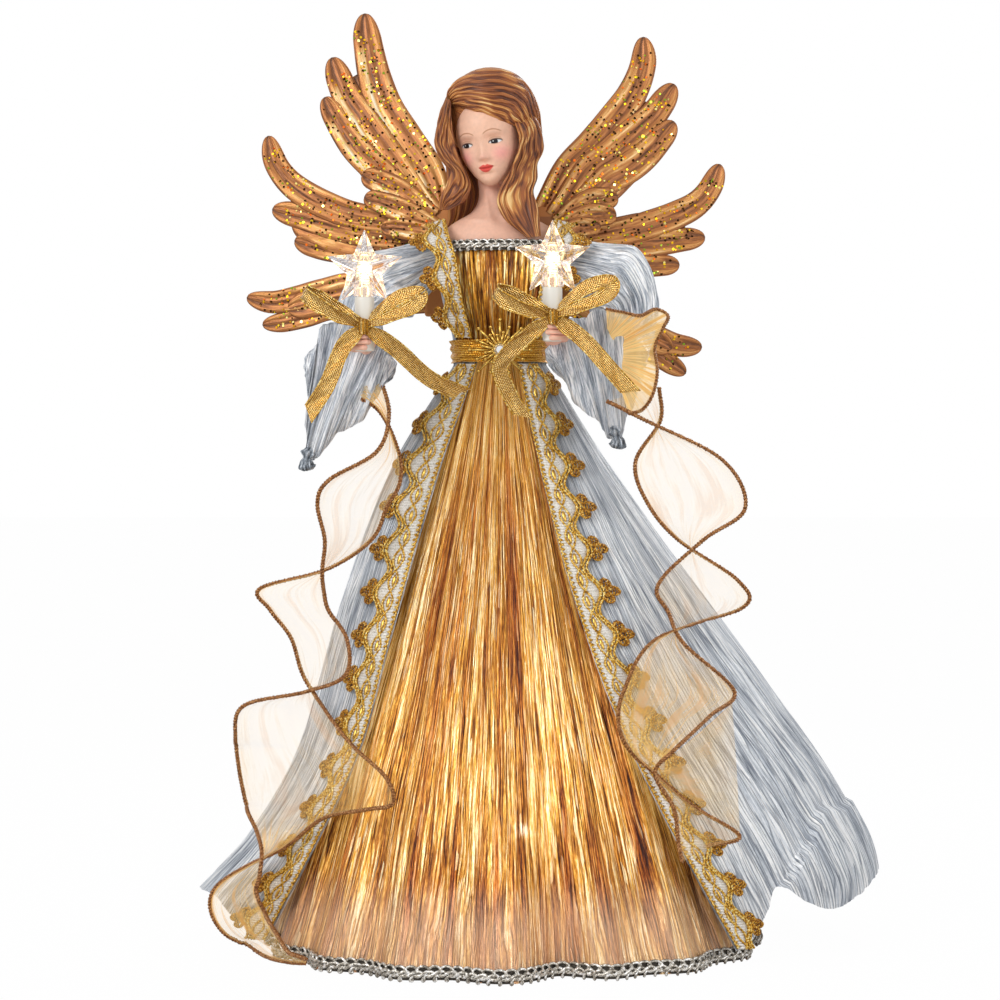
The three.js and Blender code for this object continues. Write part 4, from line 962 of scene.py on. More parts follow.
for side, sign in (("left", -1), ("right", 1)):
    inner, outer = [through([(sign * x, y, LAPEL_FOOT + z) for x, y, z in edge])
                    for edge in (LAPEL_INNER, LAPEL_OUTER)]

    def lapel_spot(s, w, h, inner=inner, outer=outer, sign=sign):
        share = min(1, max(0, s / LAPEL_LONG))
        from_here, to_here = inner(share), outer(share)
        way = inner(min(1, share + 0.02)) - inner(max(0, share - 0.02))
        facing = (to_here - from_here).cross(way).normalized() * sign
        return from_here.lerp(to_here, w / LACE_WIDE) + facing * (h - 0.4)

    sew_lace(f"lapel_lace_{side}", lapel_spot, LAPEL_LONG, f"lapel_trim_{side}")

# %% [markdown]
# A grey-silver gimp braid finishes the gold skirt's hem and the neckline. Gimp is cord bent into
# loops along both edges, held by two cords that wave past each other down the middle. A dark
# sheet behind the loops is painted shade in the braid's gaps. A cord that circles while it runs
# forward draws exactly such loops.

# %% Gimp braid
def gimp(place, length, tall, loop):
    bm = bmesh.new()
    count = round(length / loop)
    pitch = length / count
    size = tall / 7
    for edge, sign in ((5.2, 1), (1.8, -1)):
        line = []
        for i in range(count * 13 + 1):
            s = pitch * i / 13
            turn = FULL * i / 13
            line.append(place(s + sign * 1.3 * size * math.sin(turn),
                              (edge + sign * 1.25 * math.cos(turn)) * size,
                              (1.0 + 0.5 * math.sin(turn)) * size))
        roll(bm, line, 0.6 * size, 6)
    for phase in (0, math.pi):
        line = []
        for i in range(count * 5 + 1):
            turn = math.pi * i / 5 + phase
            line.append(place(pitch * i / 5, (3.5 + math.sin(turn)) * size,
                              (1.5 + 0.45 * math.cos(turn)) * size))
        roll(bm, line, 0.72 * size, 6)
    return bm


# A dark sheet behind the loops, which stands for the shade in the braid's gaps.
def gimp_shade_backing(place, length, tall):
    bm = bmesh.new()
    lay(bm, 3, round(length / 2), lambda u, v: place(v * length, lerp(0.11, 0.89, u) * tall, 0.3))
    return bm


BRAID_Z, BRAID_TALL, BRAID_LOOP = 3.5, 7, 4.6
turns = [FULL * i / 400 for i in range(401)]
run = paces([polar(a, skirt_radius(a, BRAID_Z) + 1.2, BRAID_Z) for a in turns])
round_hem = list(zip(run, turns))


def hem_spot(s, w, h):
    angle = curve(round_hem, s % run[-1])
    return polar(angle, skirt_radius(angle, BRAID_Z) + 1.6 + h, w)


make("hem_gimp", gimp(hem_spot, run[-1], BRAID_TALL, BRAID_LOOP), "gown", braid_thread,
     ["hem_braid"])
make("hem_shade_backing", gimp_shade_backing(hem_spot, run[-1], BRAID_TALL), "gown", braid_gap_shade,
     out=False)
print("hem braid:", round(run[-1]), "mm round")

# %% [markdown]
# The wings are cast in one piece each: long feathers that part only near their tips, and short ones
# at the root. Each feather is a closed blade round a bent line, almost flat, with fine furrows
# along it and a rounded rim. A broad web behind the blades joins them, and a flat root is screwed
# to the bracket behind them. The ridge attribute, which the paint reads, is high where a feather
# stands up; it also carries painted highlights, strongest on the brighter wings, along one side of
# each feather and towards the root, and painted shade at the tips and rims.

# %% Wing blades
WING_MIDDLE = 296.35
BLADE_ROWS, TIP_LONG, THIN = 60, 0.13, 2.5  # THIN: half width below which a blade's relief fades
WINGS = {
    # for each wing: depth of its root, step in depth from feather to feather, strength of its
    # painted highlights, its webs, and its feathers from tip to root, each with its width
    ("upper", "left"): (25.4, -0.75, 0.2, [
        ([(-63, 82), (-50, 52), (-27, 16)], 27), ([(-66, 58), (-50, 40), (-27, 14)], 22)], [
        ([(-60, 109.4), (-58.8, 98), (-55.3, 80.1), (-50.5, 66.9), (-40.8, 51.6), (-30.3, 36.2),
          (-25, 16)], 15.5),
        ([(-74.5, 89.5), (-68, 72.6), (-61.4, 62.6), (-52.2, 49), (-44.3, 38.4), (-29, 18)], 14.5),
        ([(-77.6, 71.5), (-70.2, 58.2), (-63.2, 48.1), (-54.8, 39.3), (-43.9, 29.6),
          (-30, 16)], 13),
        ([(-60.5, 36.8), (-46.1, 29.6), (-29, 17)], 12),
        ([(-59.5, 26.6), (-44.7, 20.9), (-27, 12)], 11),
        ([(-52, 12.8), (-41.7, 12), (-26, 8)], 9.5),
    ]),
    ("upper", "right"): (25.4, -0.75, 0.1, [
        ([(64, 70), (46, 44), (24, 14)], 26), ([(62, 46), (46, 34), (24, 12)], 20)], [
        ([(63.5, 98.8), (63.2, 86), (57.9, 72.2), (49.6, 60.8), (40.4, 49.8), (29, 38),
          (19, 20)], 14),
        ([(77.2, 77.5), (68, 63.9), (58.8, 55.1), (49.1, 46.3), (38.6, 37.5), (24, 17)], 14),
        ([(77, 60.5), (65.8, 47.2), (57, 39.7), (46.9, 33.6), (28, 15)], 13.5),
        ([(51.8, 26.4), (39.5, 23.9), (25, 14)], 11.5),
        ([(51, 18.4), (38.6, 17.4), (25, 11)], 11),
        ([(44, 13.2), (34, 12), (24, 7)], 9.5),
    ]),
    ("lower", "left"): (28.8, 0.5, 0.04, [
        ([(-92, 20), (-66, 12), (-30, 4)], 24), ([(-94, -22), (-66, -16), (-29, -16)], 15)], [
        ([(-103, 55.4), (-99.6, 43.4), (-94.3, 35.5), (-86.8, 29.3), (-77.1, 24), (-65.2, 19.2),
          (-29, 12)], 12.5),
        ([(-101, 22.6), (-88.1, 19.2), (-77.1, 16.1), (-63.9, 12.6), (-29, 6)], 13.5),
        ([(-91, 8.6), (-78.4, 5.1), (-68.3, 4.2), (-55.1, 4.2), (-29, 0)], 12.5),
        ([(-112.6, -16.4), (-101.3, -18.6), (-90.3, -17.2), (-79.3, -14.7), (-66, -12),
          (-28, -14)], 12),
        ([(-105.6, -28.6), (-94.7, -27.2), (-85.9, -24.9), (-74.9, -21.4), (-28, -20)], 11),
    ]),
    ("lower", "right"): (28.8, 0.5, 0.08, [
        ([(82, 14), (56, 8), (28, 2)], 22), ([(76, -40), (54, -28), (26, -14)], 14)], [
        ([(97.6, 42.6), (92.9, 31.5), (86.8, 24.5), (78, 19.6), (66.1, 15.2), (52.9, 11.3),
          (28, 8)], 12.5),
        ([(90.8, 10), (77.1, 8.2), (66.1, 6.9), (52.9, 5.5), (28, 2)], 12.5),
        ([(79.4, -2.4), (68.3, -2.8), (59.5, -2.4), (50, -1), (28, -4)], 11.5),
        ([(89.6, -38.6), (79.3, -38), (71.4, -35.6), (62, -31), (50, -24), (26, -12)], 12),
        ([(82.4, -50.4), (74, -45.2), (66, -39.5), (54, -31), (24, -18)], 11),
    ]),
}


def blade(points, width, depth):
    """The middle, the way across and the half width at each row, from tip to root."""
    line = through([(x, 0, z) for x, z in points])
    rows = []
    for i in range(BLADE_ROWS + 1):
        share = (i / BLADE_ROWS) ** 1.25
        way = (line(min(1, share + 0.01)) - line(max(0, share - 0.01))).normalized()
        spot = line(share)
        tip = root(1 - max(0.0, 1 - share / TIP_LONG) ** 2)
        narrow = lerp(0.8, 1, step(0.05, 0.4, share)) * lerp(1, 0.76, step(0.55, 1, share))
        away = max(0.0, math.hypot(spot.x, spot.z) - 33) / 105
        rows.append((spot + Vector((0, depth + 20 * away, WING_MIDDLE)), Vector((way.z, 0, -way.x)),
                     width / 2 * tip * narrow))
    return rows


def furrows(across, share):
    wander = 2.2 * ripple(across * 1.5, share * 3, 4.0)
    return math.cos(9 * across + wander) * step(1, 0.6, abs(across))


def blade_front(row, across, share):
    spot, side, half = row
    rim, vein = hump(abs(across), 0.86, 0.14), hump(across, 0.1, 0.12)
    relief = 0.85 * root(1 - across ** 4) + 0.3 * rim + 0.32 * furrows(across, share) - 0.35 * vein
    relief += 0.22 * ripple(across * 5, share * 14, 2.0)
    return spot + side * half * across + Vector((0, -relief * min(1.0, half / THIN), 0))


def cast_blade(bm, rows, bright, ridge):
    def place(u, v):
        spot, side, half = row = rows[round(v * BLADE_ROWS)]
        turn = FULL * u
        across = math.cos(turn)
        if u <= 0.5:
            return blade_front(row, across, v)
        back = 0.9 * abs(math.sin(turn)) * min(1, half / THIN)
        return spot + side * half * across + Vector((0, back, 0))

    def mark(corner, u, v):
        across = math.cos(FULL * u)
        # edge lightens one rim of each feather, a painted highlight.
        edge, vein = hump(across, -0.8, 0.2), hump(across, 0.1, 0.14)
        high = 0.4 + 0.07 * furrows(across, v) + 0.1 * edge - 0.2 * vein
        # Along one side of each feather the paint is lightened as a painted highlight; shine adds
        # it, more on the brighter wings and towards the root, with a faint random tone.
        stroke_and_highlight = hump(across, 0.5, 0.3) * step(-0.25, 0.35, ripple(across, v * 5, 6.0))
        shine = bright * (2.5 * stroke_and_highlight - 0.25 + 0.8 * step(0.35, 0.8, v))
        shine += 0.06 * ripple(across * 2, v * 7, 9.0)
        # Darker at the tip and along the rims, as painted shade.
        rim_and_tip_shade = 0.16 * hump(v, 0, 0.05) + 0.1 * step(0.75, 1, abs(across))
        corner[ridge] = (high + shine if u <= 0.5 else 0.34) - rim_and_tip_shade

    lay(bm, 48, BLADE_ROWS, place, closed=True, mark=mark)


# %% [markdown]
# Glitter is strewn over the fronts while the paint is wet. Its flakes are hexagons about a
# millimetre across, mostly gold, and some are painted nearly black, as painted shade for the
# flakes that face away from the light. They are placed by a seeded random choice, denser towards
# the root.

# %% Wings and glitter
# The dark browns are painted shade: flakes turned away from the light.
FLAKES = ["#f7d331", "#f2c829", "#ffe98a", "#ffc21f", "#d99a10", "#3a2208", "#3a2208", "#4a2c0a",
          "#2c1a06", "#ff7a28", "#8aa32c"]


def strew(bm, rows, count, chance, tint):
    for _ in range(count):
        i = round(BLADE_ROWS * (0.12 + 0.86 * chance.random() ** 0.8))
        after = min(BLADE_ROWS, i + 1)
        across = chance.uniform(-0.9, 0.9)
        here = blade_front(rows[i], across, i / BLADE_ROWS)
        beside = blade_front(rows[i], across + 0.05, i / BLADE_ROWS)
        below = blade_front(rows[after], across, after / BLADE_ROWS)
        face = (beside - here).cross(below - here)
        if face.length < 1e-9:
            continue
        face = face.normalized() if face.y < 0 else -face.normalized()
        tilt = Vector([chance.uniform(-0.3, 0.3) for _ in range(3)])
        turn = (face + tilt).to_track_quat("Z", "Y").to_matrix().to_4x4()
        flake = bmesh.ops.create_circle(
            bm, cap_ends=True, segments=6, radius=chance.uniform(0.38, 0.66),
            matrix=Matrix.Translation(here + face * 0.25) @ turn)["verts"]
        code = paint(chance.choice(FLAKES))
        for corner in flake:
            corner[tint] = code


for (level, side), (depth, layer, bright, webs, feathers) in WINGS.items():
    sign = -1 if side == "left" else 1
    bm, flakes = bmesh.new(), bmesh.new()
    ridge = bm.verts.layers.float.new("ridge")
    tint = flakes.verts.layers.float_color.new("tint")
    chance = random.Random(f"{level} {side}")
    for points, width in webs:
        cast_blade(bm, blade(points, width, depth + 1.2), bright, ridge)
    for k, (points, width) in enumerate(feathers):
        rows = blade(points, width, depth + layer * k)
        cast_blade(bm, rows, bright, ridge)
        reach = math.dist(points[0], points[-1])
        strew(flakes, rows, round(reach * width / 6), chance, tint)
    low, high = (2, 22) if level == "upper" else (-26, 15)
    middle = (sign * 18, depth + 0.1, WING_MIDDLE + (low + high) / 2)
    block = bmesh.ops.create_cube(
        bm, size=1, matrix=Matrix.Translation(middle) @ Matrix.Diagonal((30, 2.8, high - low, 1)))
    edges = once(e for v in block["verts"] for e in v.link_edges)
    bmesh.ops.bevel(bm, geom=edges, offset=1.3, affect="EDGES", segments=3, profile=0.5,
                    material=-1)
    for corner in bm.verts:
        corner[ridge] = corner[ridge] or 0.44
    make(f"wing_{level}_{side}_cast", bm, "gown", wing_paint,
         [f"wing_{level}_{side}"])
    make(f"glitter_{level}_{side}", flakes, "gown", glitter, out=False, flat=True)

# %% [markdown]
# Above the waist come a pleated gold bodice and, over its back and sides, the upper part of the
# silver coat. Both follow the rows of the body form under them, given as height, half width and
# half depth, and stand off it by the cloth that lies between.

# %% Bodice and coat back
TORSO = levels((236.35, 17, 14), (244.35, 16.9, 13.8), (252.35, 16.8, 13.6), (262.35, 18.5, 15),
               (272.35, 21.5, 17.5), (282.35, 23.5, 17.5), (291.35, 24.5, 16), (299.95, 25, 14.5))


def body_spot(angle, z, off):
    half = curve(TORSO, z)
    return Vector(((half.x + off) * math.sin(angle), -(half.y + off) * math.cos(angle), z))


def bodice_place(u, v):
    angle = FULL * (u - 0.5)
    z = lerp(299.6, 252.4, v)
    pleat = math.cos(62 * angle + 2.5 * ripple(angle * 4, z / 30, 1.0))
    return body_spot(angle, z, 0.85 + 0.42 * pleat + 0.3 * ripple(angle * 25, z / 14, 4.0))


bodice = spread("gold_bodice", 620, 30, bodice_place, "gown", gold_bodice_cloth,
                ["bodice"], closed=True)


def coat_back_place(u, v):
    angle = math.radians(lerp(70, 290, u))
    z = lerp(299.8, 252.2, v)
    crease = 0.5 * ripple(angle * 18, z / 22, 2.0) + 0.25 * ripple(angle * 44, z / 10, 6.0)
    return body_spot(angle, z, 2.3 + crease)


coat_back = spread("silver_coat_back", 300, 40, coat_back_place, "gown", silver_sleeve_cloth,
                   ["coat_bodice"])

NECK_LONG, NECK_TALL, NECK_LOOP = 55, 5.4, 3.4
neck_line = [(lerp(0, NECK_LONG, i / 60), math.radians(lerp(-60, 60, i / 60))) for i in range(61)]


def neck_spot(s, w, h):
    return body_spot(curve(neck_line, s), 295 + w, 1.6 + h)


make("neck_gimp", gimp(neck_spot, NECK_LONG, NECK_TALL, NECK_LOOP), "gown", braid_thread,
     ["neckline_braid"])
make("neck_shade_backing", gimp_shade_backing(neck_spot, NECK_LONG, NECK_TALL), "gown", braid_gap_shade,
     out=False)

# %% [markdown]
# A woven gold ribbon goes round the waist as a sash. It is a little wider than the place allows, so
# it lies in three soft folds, which a wave down its height gives.

# %% Sash
def sash_place(u, v):
    angle = FULL * (u - 0.5)
    z = lerp(257.9, 248.5, v) + 0.3 * ripple(angle * 3, 0, 8.0)
    fold = 0.42 * math.cos(5.5 * math.pi * (v + 0.12 * ripple(angle * 2, 1.0, 3.0)))
    return body_spot(angle, z, 4.0 + fold + 0.3 * ripple(angle * 9, v * 3, 5.0))


sash = spread("gold_sash", 240, 36, sash_place, "gown", sash_ribbon, ["waist_sash"],
              closed=True)

# %% [markdown]
# The brooch at its middle is a burst of gold wires with drop ends, set in two layers round a foiled
# glass stone. A wire is a tapered cord, and the stone a low cone with eight cut faces.

# %% Brooch
BROOCH = Vector((0, -19.6, 253.2))
BURSTS = [(0, 12.7, 10.3, 0.0), (0.5, 7.4, 6.2, -0.9)]  # start, reach of long and short, and depth


def ahead(depth):
    return Vector((0, depth, 0))


def cut_stone(bm, segments, wide, narrow, tall, depth):
    bmesh.ops.create_cone(bm, cap_ends=True, segments=segments, radius1=wide, radius2=narrow,
                          depth=tall, matrix=Matrix.Translation(BROOCH + ahead(depth))
                          @ Matrix.Rotation(math.pi / 2, 4, "X"))


bm = bmesh.new()
for first, long, short, front in BURSTS:
    for k in range(16):
        turn = FULL * (k + first) / 16
        out = Vector((math.sin(turn), 0, math.cos(turn)))
        reach = long if k % 2 == 0 else short
        tip = BROOCH + out * reach + ahead(front - 0.2)
        bend = BROOCH + out * reach * 0.6 + ahead(front - 0.3)
        roll(bm, [BROOCH + out * 1.5 + ahead(front), bend, tip],
             lambda share: lerp(0.8, 0.48, share))
        pebble(bm, tip, (0.82, 0.82, 0.82))
for k in range(12):
    turn = FULL * k / 12
    pebble(bm, BROOCH + Vector((3 * math.sin(turn), -1.3, 3 * math.cos(turn))), (0.62, 0.62, 0.62))
cut_stone(bm, 24, 2.9, 2.5, 1.4, -0.6)
make("brooch_burst", bm, "gown", plated_wire, ["brooch_rays"])

bm = bmesh.new()
cut_stone(bm, 8, 2.9, 1.6, 1.6, -2.1)
make("brooch_gem", bm, "gown", foiled_glass, ["brooch_stone"], flat=True)

# %% [markdown]
# Head, neck and shoulders are one painted casting with a doll's face. The head is a grid of rings
# whose width, front and back are given at each height, and the features are soft humps and hollows
# added to its front. The paint is stored on the corners in the tint attribute, so the grid is fine
# enough in the face, about a fifth of a millimetre, to draw brows and lashes.

# %% Head shape
HEAD = Vector((-4.5, -5, 343.5))
TURN, NOD, TILT = [Matrix.Rotation(math.radians(degrees), 3, axis)
                   for degrees, axis in ((-14, "Z"), (10, "X"), (-8, "Y"))]
HEAD_TURN = TURN @ NOD @ TILT
HEAD_TOP, CHIN = 20, -19.2
EYES_AT, EYES_OVER = 6.35, 0.8  # from the middle of the face, and over to the left
HEAD_ROWS = levels(  # height, half width, front, back
    (CHIN, 0, 8, -8), (-18.7, 3.4, 11.0, -3), (-17.2, 5.6, 13.1, 1), (-14.5, 8.2, 13.8, 6),
    (-11, 10.4, 14.2, 11), (-6, 12.6, 14.3, 15), (-1, 13.4, 14.0, 16), (3.5, 13.6, 14.6, 16),
    (9, 12.8, 13.9, 14.5), (15, 10, 10.5, 11), (18.5, 6.2, 6.0, 6.5), (HEAD_TOP, 0, 0, 0),
)


def spot_at(x, z, middle_x, middle_z, wide, high):
    return math.exp(-(((x - middle_x) / wide) ** 2) - (((z - middle_z) / high) ** 2))


NOSE = [(-9.4, 0), (-8.3, 0.4), (-7.4, 1.8), (-6.4, 2.7), (-4.5, 2.1), (-2, 1.25), (0.5, 0.6),
        (3.5, 0)]
BY_THE_EYES = [  # height of each swelling, then its middle and half sizes: socket, lid, brow, cheek
    (-1.5, (-0.3, -0.2, 3.6, 2.3)), (1.15, (0, -0.5, 2.7, 1.5)),
    (0.4, (-0.6, 3.6, 4.0, 1.3)), (0.6, (0.8, -5.5, 3.4, 3.4)),
]
IN_THE_MIDDLE = [  # two lips, the line between them, the groove above, the dip below and the chin
    (0.95, (0, -10.4, 2.8, 0.85)), (1.1, (0, -12.1, 2.3, 0.85)), (-0.6, (0, -11.2, 3.0, 0.3)),
    (-0.3, (0, -9.2, 0.6, 0.8)), (-0.6, (0, -13.8, 3.0, 0.7)), (0.5, (0, -16.2, 3.0, 1.5)),
]


def features(x, z):
    eye = abs(x + EYES_OVER) - EYES_AT
    relief = curve(NOSE, z) * hump(x, 0, lerp(1.7, 2.1, step(0, -6, z)))
    relief += 0.55 * spot_at(abs(x), z, 1.9, -6.9, 0.8, 0.8)
    relief += sum(high * spot_at(eye, z, *spot) for high, spot in BY_THE_EYES)
    return relief + sum(high * spot_at(x, z, *spot) for high, spot in IN_THE_MIDDLE)


def face_spot(turn, z):
    half = curve(HEAD_ROWS, z)
    x = half.x * math.sin(turn)
    front = math.cos(turn)
    y = half.y * front if front > 0 else half.z * front
    if front > 0:
        y += features(x, z) * step(0, 0.5, front)
    return Vector((x, -y, z))


# %% [markdown]
# The face is painted in thin layers: a warm skin, pink on the cheeks and the tip of the nose,
# painted shade in the sockets above the eyes, coral lips, and eyes that look down to one side under
# a dark lash line, each with a small white light.

# %% Face paint
SKIN, BLUSH, LIPS, LASH, EYE_WHITE, IRIS, BROW, SOCKET_SHADE = [Vector(paint(code)[:3]) for code in (
    "#f0c0a5", "#ffaea4", "#e04a42", "#2c150e", "#eef0f2", "#03050c", "#a4683f", "#d89a7c")]
EYE_HALF, LIPS_HALF = 2.75, 3.25
BROW_LINE = [(1.9, 3.0), (3.6, 4.0), (5.8, 4.45), (7.6, 4.1), (9.6, 3.0)]


def face_paint(x, z):
    across_face = x + EYES_OVER
    side = abs(across_face)
    cheek, nose_tip = spot_at(side, z, 8.0, -6.0, 3.4, 3.0), spot_at(x, z, 0, -6.4, 1.6, 1.4)
    colour = SKIN.lerp(BLUSH, 0.85 * cheek + 0.25 * nose_tip)
    # Painted shade in the socket above each eye.
    colour = colour.lerp(SOCKET_SHADE, 0.45 * spot_at(side, z, 6.0, 1.7, 3.4, 1.0))
    brow = hump(z, curve(BROW_LINE, side), 0.26) * step(1.7, 2.6, side) * step(10, 8.6, side)
    colour = colour.lerp(BROW, 0.85 * brow)
    across = (side - EYES_AT) / EYE_HALF
    if abs(across) < 1.15:
        bend = max(0.0, 1 - across * across)
        top, foot = -0.95 + 0.95 * bend ** 0.7, -0.95 - 0.85 * bend
        inside = (step(foot - 0.12, foot + 0.12, z) * step(top + 0.1, top - 0.1, z)
                  * step(0, 0.15, bend))
        colour = colour.lerp(EYE_WHITE, inside)
        middle = math.copysign(EYES_AT, across_face)
        off = math.hypot(across_face - middle + 0.35, (z + 0.95) * 0.95)
        colour = colour.lerp(IRIS, inside * step(1.56, 1.3, off))
        glint = math.hypot(across_face - middle + 0.8, z + 0.6)
        colour = colour.lerp(EYE_WHITE, inside * step(0.3, 0.16, glint))
        colour = colour.lerp(LASH, hump(z, top + 0.1, 0.4) * step(1.12, 0.95, abs(across)))
        colour = colour.lerp(BROW, 0.4 * hump(z, foot - 0.05, 0.18) * step(1.0, 0.8, abs(across)))
        colour = colour.lerp(BROW, 0.55 * hump(z, top + 1.0, 0.2) * step(1.0, 0.7, abs(across)))
    wide = abs(x) / LIPS_HALF
    if wide < 1:
        dip, peak = hump(abs(x), 0, 0.5), hump(abs(x), 0.9, 0.6)
        bow = -9.75 - 0.28 * dip + 0.15 * peak - 0.95 * wide ** 2
        low = -13.05 + 2.2 * wide ** 2
        inside = step(low - 0.15, low + 0.2, z) * step(bow + 0.15, bow - 0.15, z)
        colour = colour.lerp(LIPS, 0.95 * inside)
        between = hump(z, -11.3 + 0.55 * wide * wide, 0.2)
        colour = colour.lerp(LIPS * 0.45, 0.75 * inside * between)
    return colour


bm = bmesh.new()
tint = bm.verts.layers.float_color.new("tint")
FACE_COLUMNS = [(0, -math.pi), (0.1, -1.35), (0.9, 1.35), (1, math.pi)]  # most of the grid in front


def head_angle(u):
    i = 0 if u < FACE_COLUMNS[1][0] else 1 if u < FACE_COLUMNS[2][0] else 2
    (u0, a0), (u1, a1) = FACE_COLUMNS[i], FACE_COLUMNS[i + 1]
    return lerp(a0, a1, (u - u0) / (u1 - u0))


def head_place(u, v):
    return HEAD + HEAD_TURN @ face_spot(head_angle(u), lerp(HEAD_TOP, CHIN, v))


def head_mark(corner, u, v):
    turn, z = head_angle(u), lerp(HEAD_TOP, CHIN, v)
    x = curve(HEAD_ROWS, z).x * math.sin(turn)
    colour = face_paint(x, z) if math.cos(turn) > 0 else SKIN
    corner[tint] = (*colour, 1)


lay(bm, 260, 210, head_place, closed=True, mark=head_mark)

# %% [markdown]
# Neck and shoulders are rings as well, from the neckline up into the head. The front of the neck
# has its two cords and the hollow between the collar bones.

# %% Neck and shoulders
NECK_TOP, BUST_FOOT = 334, 300.3
BUST_ROWS = levels(  # height, half width, half depth and lean to the side
    (BUST_FOOT, 24.8, 14.4, 0), (303, 24.3, 14.0, 0.1), (306.3, 22.2, 12.8, 0.4),
    (309.5, 17.2, 11.4, 0.8), (312.5, 11.5, 9.6, 1.4), (316.3, 7.8, 7.7, 2.2),
    (321, 6.0, 6.6, 3.0), (327, 5.7, 6.3, 3.8), (NECK_TOP, 5.8, 6.4, 4.2),
)


def bust_place(u, v):
    angle = FULL * u
    z = lerp(NECK_TOP, BUST_FOOT, v)
    half = curve(BUST_ROWS, z)
    x, y = half.x * math.sin(angle), -half.y * math.cos(angle)
    if y < 0:
        y -= 0.7 * spot_at(abs(x), z, 3.4, 316, 1.2, 6) - 0.8 * spot_at(x, z, 0, 309.5, 2.2, 2)
        y -= 0.6 * spot_at(abs(x), z, 9, lerp(308.5, 309.5, abs(x) / 16), 6, 1.1)
    return Vector((x - half.z, y, z))


def bust_mark(corner, u, v):
    flush = 0.1 + 0.12 * step(316, 326, lerp(NECK_TOP, BUST_FOOT, v))
    corner[tint] = (*SKIN.lerp(BLUSH, flush), 1)


lay(bm, 160, 70, bust_place, closed=True, mark=bust_mark)
make("head_and_shoulders", bm, "gown", skin_paint, ["head_bust"])

# %% [markdown]
# The hair is sculpted in thick waved masses and painted auburn, with gold on the crests; painted
# highlights lie in bands along the waves, strongest on the right fall. A ribbed cap covers the
# skull; its ribs run from the parting like the lines of longitude on a globe. One mass sweeps from
# the parting over the brow, and two fall in waves at the sides. Each mass lies between two edges,
# swells in the middle and is furrowed along its length; the furrows wander, and finer ones lie
# between them. Ribbed locks hang down the back.

# %% Hair masses
HAIR = Vector((-4, 2.5, 355.6))
HAIR_HALF = Vector((20.1, 19.4, 19.6))
CAP_RIBS = 52
bm = bmesh.new()
ridge = bm.verts.layers.float.new("ridge")
cap_axis = Vector((-17, -12, 1)).normalized()
cap_turn = cap_axis.to_track_quat("Z", "Y").to_matrix()


def cap_place(u, v):
    turn, drop = FULL * u, math.pi * v
    across = math.sin(drop)
    way = cap_turn @ Vector((across * math.cos(turn), across * math.sin(turn), math.cos(drop)))
    rib = 1 + 0.012 * math.cos(CAP_RIBS * turn + 5 * math.sin(3 * drop)) * across
    return HAIR + way * HAIR_HALF * rib


def cap_mark(corner, u, v):
    corner[ridge] = 0.45 + 0.25 * math.cos(FULL * CAP_RIBS * u + 5 * math.sin(3 * math.pi * v))


lay(bm, 312, 56, cap_place, closed=True, mark=cap_mark)


def strands(w, v, count, seed):
    """Furrows across a mass of hair: a few broad ones that wander, and fine ones between them."""
    bend = (0.5 * math.sin(8 * v + 1.2 * w + seed) + 1.5 * ripple(w * 2.2, v * 3.6, seed)
            + 0.5 * ripple(w * 6, v * 9, seed + 2))
    broad = math.cos(FULL * (count * w + bend))
    fine = math.cos(FULL * (3.1 * count * w + 2.2 * bend))
    return 0.66 * broad + 0.34 * fine


def sculpt(spot, thick, count, seed, bright, columns=240, rows=80):
    """A closed mass of hair; spot(w, v) gives its middle layer and the way out from the head, and
    bright is how strong the painted highlights are in bands along its waves."""
    def place(u, v):
        across = math.cos(FULL * u)
        w = (1 - across) / 2
        base, way_out = spot(w, v)
        swell = root(1 - across ** 4) * root(step(-0.02, 0.14, v)) * root(1 - step(0.82, 1.02, v))
        if u > 0.5:
            return base - way_out * 0.5 * thick * swell
        return base + way_out * swell * (thick + 0.75 * strands(w, v, count, seed))

    def mark(corner, u, v):
        w = (1 - math.cos(FULL * u)) / 2
        # Bands of painted highlight along the waves, as strong as bright says; shine also takes a
        # random tone.
        wander = 3 * ripple(w * 3, v * 4, seed + 8)
        wave = step(0.1, 1, math.sin(13 * v + 5 * w + 2 * seed + wander))
        shine = 0.24 * ripple(w * 2.5, v * 6, seed + 4) + 0.34 * wave * bright - 0.12
        corner[ridge] = 0.48 + 0.4 * strands(w, v, count, seed) + shine if u <= 0.5 else 0.3

    lay(bm, columns, rows, place, closed=True, mark=mark)


def seen_at(px, py, y):
    """The place at depth y that shows at a pixel of the picture."""
    scale = VIEW_WIDTH / PICTURE * (1 + y / CAMERA_AWAY)
    middle = PICTURE / 2
    return Vector(((px - middle) * scale, y, CAMERA_HEIGHT - (py - middle) * scale))


def between_edges(inner, outer):
    """A function of w, from the inner edge to the outer, and v along both, that gives a pixel and
    its depth."""
    pairs = [[(i, Vector(p)) for i, p in enumerate(edge)] for edge in (inner, outer)]
    last = len(inner) - 1
    return lambda w, v: curve(pairs[0], v * last).lerp(curve(pairs[1], v * last), w)


BROW_EDGE = [(450, 104), (459, 107), (472, 112), (486, 120), (499, 124), (510, 126), (518, 132),
             (521, 148)]
CROWN_EDGE = [(446, 100), (450, 87), (463, 75), (489, 66.5), (514, 71.5), (530, 86.5), (539.5, 109),
              (543, 132)]
sweep_line = between_edges(BROW_EDGE, CROWN_EDGE)


def sweep(w, v):
    px, py = sweep_line(lerp(0.04, 0.97, w), v)
    spot = seen_at(px, py, -12)
    inside = 1 - ((spot.x - HAIR.x) / HAIR_HALF.x) ** 2 - ((spot.z - HAIR.z) / HAIR_HALF.z) ** 2
    spot = seen_at(px, py, HAIR.y - HAIR_HALF.y * root(inside) - lerp(1.6, 0, w))
    return spot, Vector((0, -1, 0)).lerp((spot - HAIR).normalized(), 0.5 * w)


sculpt(sweep, 2.2, 8, 1.0, 0.7, columns=300)

